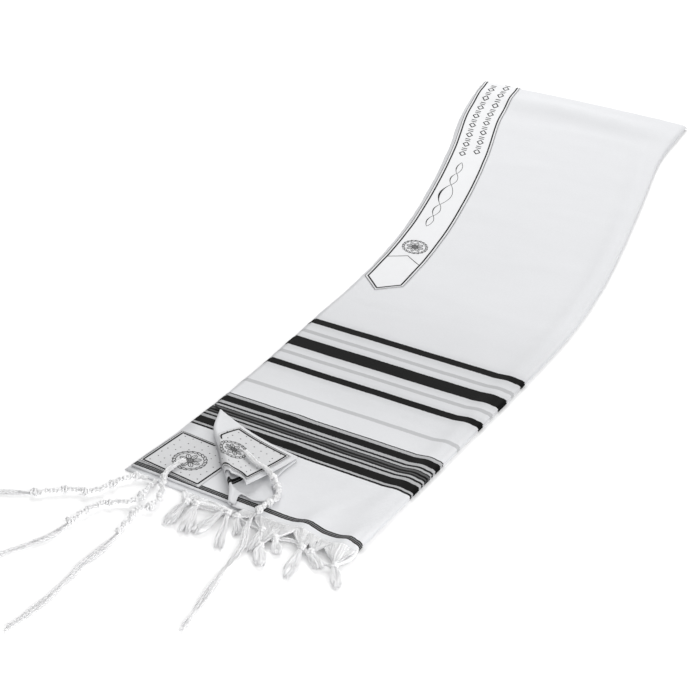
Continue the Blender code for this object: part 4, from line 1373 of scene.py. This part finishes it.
def winding(path, rng):
    """One strand wound round the others, with loops pulled tight over each other at the knots."""
    turns = travelled(path, 0)[-1] / WINDING_PITCH
    share = np.linspace(0, 1, int(turns * WINDING_STEPS))
    centre = pick(path, share)
    _, side, up = frame_along(centre)
    phase = rng.uniform(0, FULL_TURN, 2)
    sway = WOBBLE * (np.sin(46 * share + phase[0]) + 0.6 * np.sin(83 * share + phase[1]))
    centre = centre + side * sway[:, None]
    uneven = 1 + 0.10 * np.sin(41 * share + rng.uniform(0, 6)) + 0.06 * np.sin(97 * share)
    angle = (FULL_TURN * turns * share)[:, None]
    coil = centre + (WOUND_RADIUS * uneven)[:, None] * (np.cos(angle) * side + np.sin(angle) * up)
    lines = [(coil, WINDING), (centre, WOUND_CORE)]
    knots = []
    for knot in np.linspace(0.02, 0.98, KNOTS):
        middle = pick(centre, np.array([knot + rng.uniform(-0.05, 0.05)]))
        bulk = rng.uniform(0.85, 1.2)
        nearby = frame_along(pick(path, np.linspace(knot - 0.01, knot + 0.01, 3)))
        ahead, aside, above = (way[1] for way in nearby)
        for tilt, shift, size in KNOT_LOOPS:
            lean = tilt + rng.uniform(-0.15, 0.15)
            swing = rng.uniform(-0.4, 0.4)
            across = aside * math.cos(swing) + above * math.sin(swing)
            over = above * math.cos(swing) - aside * math.sin(swing)
            across = across * math.cos(lean) + ahead * math.sin(lean)
            radius = KNOT_SIZE * size * bulk
            loop = pulled_loop(middle + ahead * shift, across, over, radius, 1.08, 26, 0.85)
            knots.append((loop, KNOT_YARN))
    return lines + knots


# %% [markdown]
# ## Loose tails
# Under the last knot the strands hang free. They could be simulated, but the photo shows where they
# lie, so each strand follows the route, wanders across its neighbours and ends at its own length.

# %% Tails
TAIL_SPREAD, TAIL_DROP, TAIL_LIFT = 0.0028, 0.0018, 0.0006
CRIMP, CRIMP_PITCH = 0.00018, 0.0110
LOW_STRAND = 0.0008


def tail_strands(path, rng):
    """The loose strands: they wander across each other and end unevenly."""
    _, side, _ = frame_along(path)
    t = np.linspace(0, 1, len(path))
    length = travelled(path, 0)[-1]
    open_out = np.minimum(1.0, 0.25 + 5 * t)
    lines = []
    for k in range(STRANDS):
        place = (k - (STRANDS - 1) / 2) / ((STRANDS - 1) / 2)
        waves = length / rng.uniform(0.050, 0.090)
        wander = 0.62 * place + 0.38 * np.sin(FULL_TURN * waves * t + rng.uniform(0, 6.3))
        crimp = CRIMP * np.sin(FULL_TURN * length / CRIMP_PITCH * t + rng.uniform(0, 6.3))
        strand = path + side * (TAIL_SPREAD * wander * open_out + crimp)[:, None]
        lift = TAIL_LIFT * (1 + np.sin(FULL_TURN * waves * 0.7 * t + rng.uniform(0, 6.3)))
        strand[:, 2] = np.maximum(path[:, 2] - TAIL_DROP, LOW_STRAND) + lift * open_out
        end = int(len(path) * (1 - 0.05 * rng.uniform(0, 1)))
        lines.append((strand[:end], STRAND))
    return lines


# %% Make the tzitzit
TZITZIT_TWIST = 0.0090


def make_tzitzit(name, seed):
    rng = np.random.default_rng(seed)
    loop_share, wound_share, stops = ROUTES[name]
    path = smooth_path(metres(stops), 400)
    loop, head = int(len(path) * loop_share), int(len(path) * wound_share)
    lines = loop_strands(path[: max(loop, 4) + 2], rng)
    lines += winding(path[loop : head + 1], rng)
    lines += tail_strands(path[head - 2 :], rng)
    off_floor(lines)
    sizes = {"Step": 0.0008, "Plies": 2, "Twist_Length": TZITZIT_TWIST}
    sizes |= {"Ply_Reach": 0.26, "Ply_Size": 0.78, "Sides": 5}
    dress(threads(name + "_yarn", lines, TWISTED_YARN, tzitzit_yarn, **sizes), "tzitzit yarn", name)


for order, name in enumerate(ROUTES):
    make_tzitzit(name, 11 + order)

# %% [markdown]
# ## Fringe
# The warp ends run on past the hem as loose yarn. They are gathered into knots, the knots are
# netted together with thicker cord, and a soft brushed tuft hangs under each knot. Every knot and
# tip has its own place in the table, because no two tassels lie alike.

# %% Fringe tables
# Start and end of the yarn on the hem, x and y of the knot and of the tip, and the tuft's flare.
TOP_FRINGE = metres((
    (127.0, 142.0, 5.1, -451.2, 17.7, -471.4, 3.6),
    (136.0, 160.0, 34.0, -458.2, 38.5, -487.0, 4.6),
    (148.0, 170.0, 44.7, -478.7, 57.6, -501.8, 6.8),
    (160.0, 186.0, 49.8, -463.0, 60.4, -480.0, 6.2),
    (176.0, 204.0, 76.2, -464.0, 84.9, -504.0, 6.4),
    (193.0, 220.0, 86.0, -466.0, 101.6, -481.0, 5.6),
    (206.0, 240.2, 112.5, -473.3, 128.7, -496.3, 5.6),
))
LOWER_FRINGE = metres((
    (64.0, 78.0, -44.6, -453.0, -43.8, -488.0, 5.2),
    (76.0, 92.0, -35.2, -452.7, -23.5, -491.5, 5.6),
    (90.0, 108.0, -10.0, -449.0, -15.0, -487.0, 6.8),
    (104.0, 122.0, -5.0, -450.0, 16.0, -500.0, 3.8),
))
# Three places on each cord.
TOP_CORDS = metres((
    ((117.4, -444.0), (118.0, -456.0), (112.5, -473.3)),
    ((76.2, -462.0), (93.0, -474.0), (112.5, -474.0)),
    ((49.8, -464.0), (62.0, -460.0), (76.2, -461.0)),
    ((32.0, -447.0), (33.5, -460.0), (37.0, -476.0)),
    ((34.0, -459.0), (39.0, -470.0), (44.7, -479.0)),
    ((5.1, -451.2), (18.0, -456.0), (34.0, -459.0)),
))
LOWER_CORDS = metres((
    ((-44.6, -452.0), (-25.2, -447.0), (-10.0, -448.0)),
    ((-35.2, -453.0), (-23.0, -452.0), (-10.0, -450.0)),
    ((-56.0, -438.0), (-52.0, -446.0), (-44.6, -453.0)),
))

print("tassels:", len(TOP_FRINGE), "at the top hem and", len(LOWER_FRINGE), "at the lower one")

# %% Roots and knots
ROOTS, ROOT_YARN, ROOT_SHIFT, ROOT_SPREAD = 24, 0.00110, 0.0018, 0.0030
KNOT_HEIGHT, TIP_HEIGHT = 0.0036, 0.0012
FRINGE_KNOT, FRINGE_KNOT_YARN = 0.0026, 0.0018
# Lean, shift towards the tip and size of the three loops of a knot.
FRINGE_LOOPS = ((0.6, -0.0014, 0.9), (-0.55, 0.0012, 1.0), (0.05, 0.0, 1.1))


def lower_hem(across):
    left, direction, _ = weft(LOWER_HEM)
    return np.array([*(left + direction * across), 0.0009])


def top_hem(across):
    return top_surface(TOP_HEM + 0.0006, across) - np.array([0.0, 0.0, CLOTH / 2])


def tassel_lines(tassel, hem, rng):
    """Warp ends gathered from the hem, the knot that holds them, and the tuft under it."""
    hem_from, hem_to, knot_x, knot_y, tip_x, tip_y, flare = tassel
    knot, tip = np.array([knot_x, knot_y, KNOT_HEIGHT]), np.array([tip_x, tip_y, TIP_HEIGHT])
    ahead = (tip - knot) / np.linalg.norm(tip - knot)
    side = np.array([ahead[1], -ahead[0], 0.0])
    side /= np.linalg.norm(side)
    up = np.cross(side, ahead)
    up *= np.sign(up[2])
    lines = []
    for k in range(ROOTS):
        share = (k + rng.uniform(0.1, 0.9)) / ROOTS
        start = hem(hem_from + (hem_to - hem_from) * share)
        shift = np.array([*rng.uniform(-ROOT_SHIFT, ROOT_SHIFT, 2), 0.0004])
        middle = start * 0.55 + knot * 0.45 + shift
        stops = np.array([start, middle, knot + side * ROOT_SPREAD * (share - 0.5)])
        lines.append((smooth_path(stops, 10), ROOT_YARN * rng.uniform(0.8, 1.4)))
    for tilt, shift, size in FRINGE_LOOPS:
        lean = tilt + rng.uniform(-0.3, 0.3)
        across = side * math.cos(lean) + ahead * math.sin(lean)
        loop = pulled_loop(knot + ahead * shift, across, up, FRINGE_KNOT * size, 1.1, 24, 0.8)
        lines.append((loop, FRINGE_KNOT_YARN))
    return lines, *tuft_locks(knot, tip, side, up, flare, rng)


# %% [markdown]
# ## Brushed tufts
# A tuft is soft and full, with no single yarn to see. Hair would be heavy to share, so six thick
# locks give the body, and fine fibres along them break up its outline.

# %% Tufts
LOCKS, LOCK_SHARE, LOCK_FIBRES = 6, 0.42, 14
FIBRE, TUFT_HEIGHT = 0.00034, 0.0026


def tuft_locks(knot, tip, side, up, flare, rng):
    """Soft locks that leave the knot close together, and fine fibres brushed along them."""
    fall = tip - knot
    t = np.linspace(0, 1, 13)
    spread = np.sin(np.minimum(1.0, 1.4 * t) * math.pi / 2)
    body = (0.42 + 0.58 * t**0.8) * np.sqrt(1.04 - t**16)
    locks, fibres = [], []
    for k in range(LOCKS):
        turn = FULL_TURN * (k + rng.uniform(-0.3, 0.3)) / LOCKS
        reach = rng.uniform(0.55, 0.85) if k else 0.0
        length = rng.uniform(0.80, 1.0)
        bend = flare * rng.uniform(-0.25, 0.25)
        across = flare * reach * math.cos(turn) * spread + bend * t**2
        across = across + 0.0004 * np.sin(7 * t + rng.uniform(0, 6.3))
        rise = TUFT_HEIGHT * (1 + reach * math.sin(turn)) * spread * (1 - 0.45 * t)
        middle = knot + fall * (t * length)[:, None] + side * across[:, None]
        thick = LOCK_SHARE * flare * rng.uniform(0.85, 1.1) * body
        middle[:, 2] = np.maximum(middle[:, 2] * (1 - t) + rise, 0.95 * thick + 0.0002)
        locks.append((middle, thick))
        for _ in range(LOCK_FIBRES):
            angle = (rng.uniform(0, FULL_TURN) + rng.uniform(-0.8, 0.8) * t)[:, None]
            away = np.cos(angle) * side + np.sin(angle) * up
            out = thick * rng.uniform(0.86, 1.0) + 0.0006 * t**3 * rng.uniform(0, 1)
            line = middle + away * out[:, None] + fall * (t * 0.11 * rng.uniform(-0.6, 1))[:, None]
            line[:, 2] = np.maximum(line[:, 2], FIBRE)
            fibres.append((line, FIBRE * (1 - 0.5 * t**4)))
    return locks, fibres


# %% Make the fringes
CORD, CORD_SHIFT = 0.0017, 0.0010
FRINGE_TWIST, LOCK_TWIST = 0.0050, 0.0300


def make_fringe(name, tassels, cords, hem, seed):
    rng = np.random.default_rng(seed)
    made = [tassel_lines(tassel, hem, rng) for tassel in tassels]
    yarn, locks, fibres = (sum(lines, []) for lines in zip(*made))
    for cord in cords:
        for size in (1.0, 0.8):
            stops = np.column_stack([cord, np.full(len(cord), KNOT_HEIGHT)])
            stops[1] += rng.uniform(-CORD_SHIFT, CORD_SHIFT, 3)
            yarn.append((smooth_path(stops, 16), CORD * size))
    off_floor(yarn)
    for kind, lines, step, plies, twist, reach, size, sides in (
        ("_yarn", yarn, 0.0015, 2, FRINGE_TWIST, 0.45, 0.65, 5),
        ("_locks", locks, 0.0015, 2, LOCK_TWIST, 0.12, 0.92, 8),
        ("_fibres", fibres, 0.0025, 1, FRINGE_TWIST, 0.0, 1.0, 4),
    ):
        sizes = {"Step": step, "Plies": plies, "Twist_Length": twist}
        sizes |= {"Ply_Reach": reach, "Ply_Size": size, "Sides": sides}
        piece = threads(name + kind, lines, TWISTED_YARN, fringe_yarn, **sizes)
        dress(piece, "fringe yarn", *([name] if kind == "_yarn" else []))


make_fringe("fringe_top", TOP_FRINGE, TOP_CORDS, top_hem, 31)
make_fringe("fringe_lower", LOWER_FRINGE, LOWER_CORDS, lower_hem, 37)

# %% [markdown]
# ## Floor and light
# A plain white floor and a bright even world, as in a cut-out picture. One large soft lamp from the
# far left gives the highlights, a fill from the right softens the shadows, and a small front lamp
# brightens the roll and the tassels.

# %% Set the stage
FLOOR_HALF, FLOOR_LEVEL = 4.0, -0.0003
# Place, target, size and power.
LAMPS = {
    "key": ((-1.2, 1.9, 1.5), (0.0, 0.1, 0.0), 1.3, 54.0),
    "fill": ((2.0, -0.9, 1.0), (0.0, -0.2, 0.0), 1.5, 31.0),
    "front": ((0.5, -1.5, 0.5), (0.0, -0.45, 0.0), 0.8, 4.0),
}
WORLD_STRENGTH = 0.58


def add_floor():
    material, tree, shader = new_material("floor")
    place = tree.nodes.new("ShaderNodeTexCoord").outputs["Object"]
    tone = mixed(tree, noise(tree, place, 3.0), colour(0.965), colour(0.975))
    wire(tree, shader, {"Base Color": tone, "Roughness": 0.9})
    mesh = bpy.data.meshes.new("floor")
    signs = ((-1, -1), (1, -1), (1, 1), (-1, 1))
    corners = [(x * FLOOR_HALF, y * FLOOR_HALF, FLOOR_LEVEL) for x, y in signs]
    mesh.from_pydata(corners, [], [(0, 1, 2, 3)])
    mesh.materials.append(material)
    add_object("floor", mesh)


def add_lamp(name, place, target, size, watts):
    data = bpy.data.lights.new(name, "AREA")
    data.size, data.energy = size, watts
    lamp = add_object(name, data)
    lamp.location = place
    x, y, z = np.array(place) - np.array(target)
    lamp.rotation_euler = (math.atan2(math.hypot(x, y), z), 0.0, math.atan2(y, x) + math.pi / 2)


def set_world(strength):
    world = bpy.data.worlds.new("studio")
    world.use_nodes = True
    background = world.node_tree.nodes["Background"]
    wire(world.node_tree, background, {"Color": colour(1.0), "Strength": strength})
    bpy.context.scene.world = world


add_floor()
for name, lamp in LAMPS.items():
    add_lamp(name, *lamp)
set_world(WORLD_STRENGTH)
bpy.context.scene.view_settings.view_transform = "Standard"
print("lamps:", ", ".join(LAMPS))
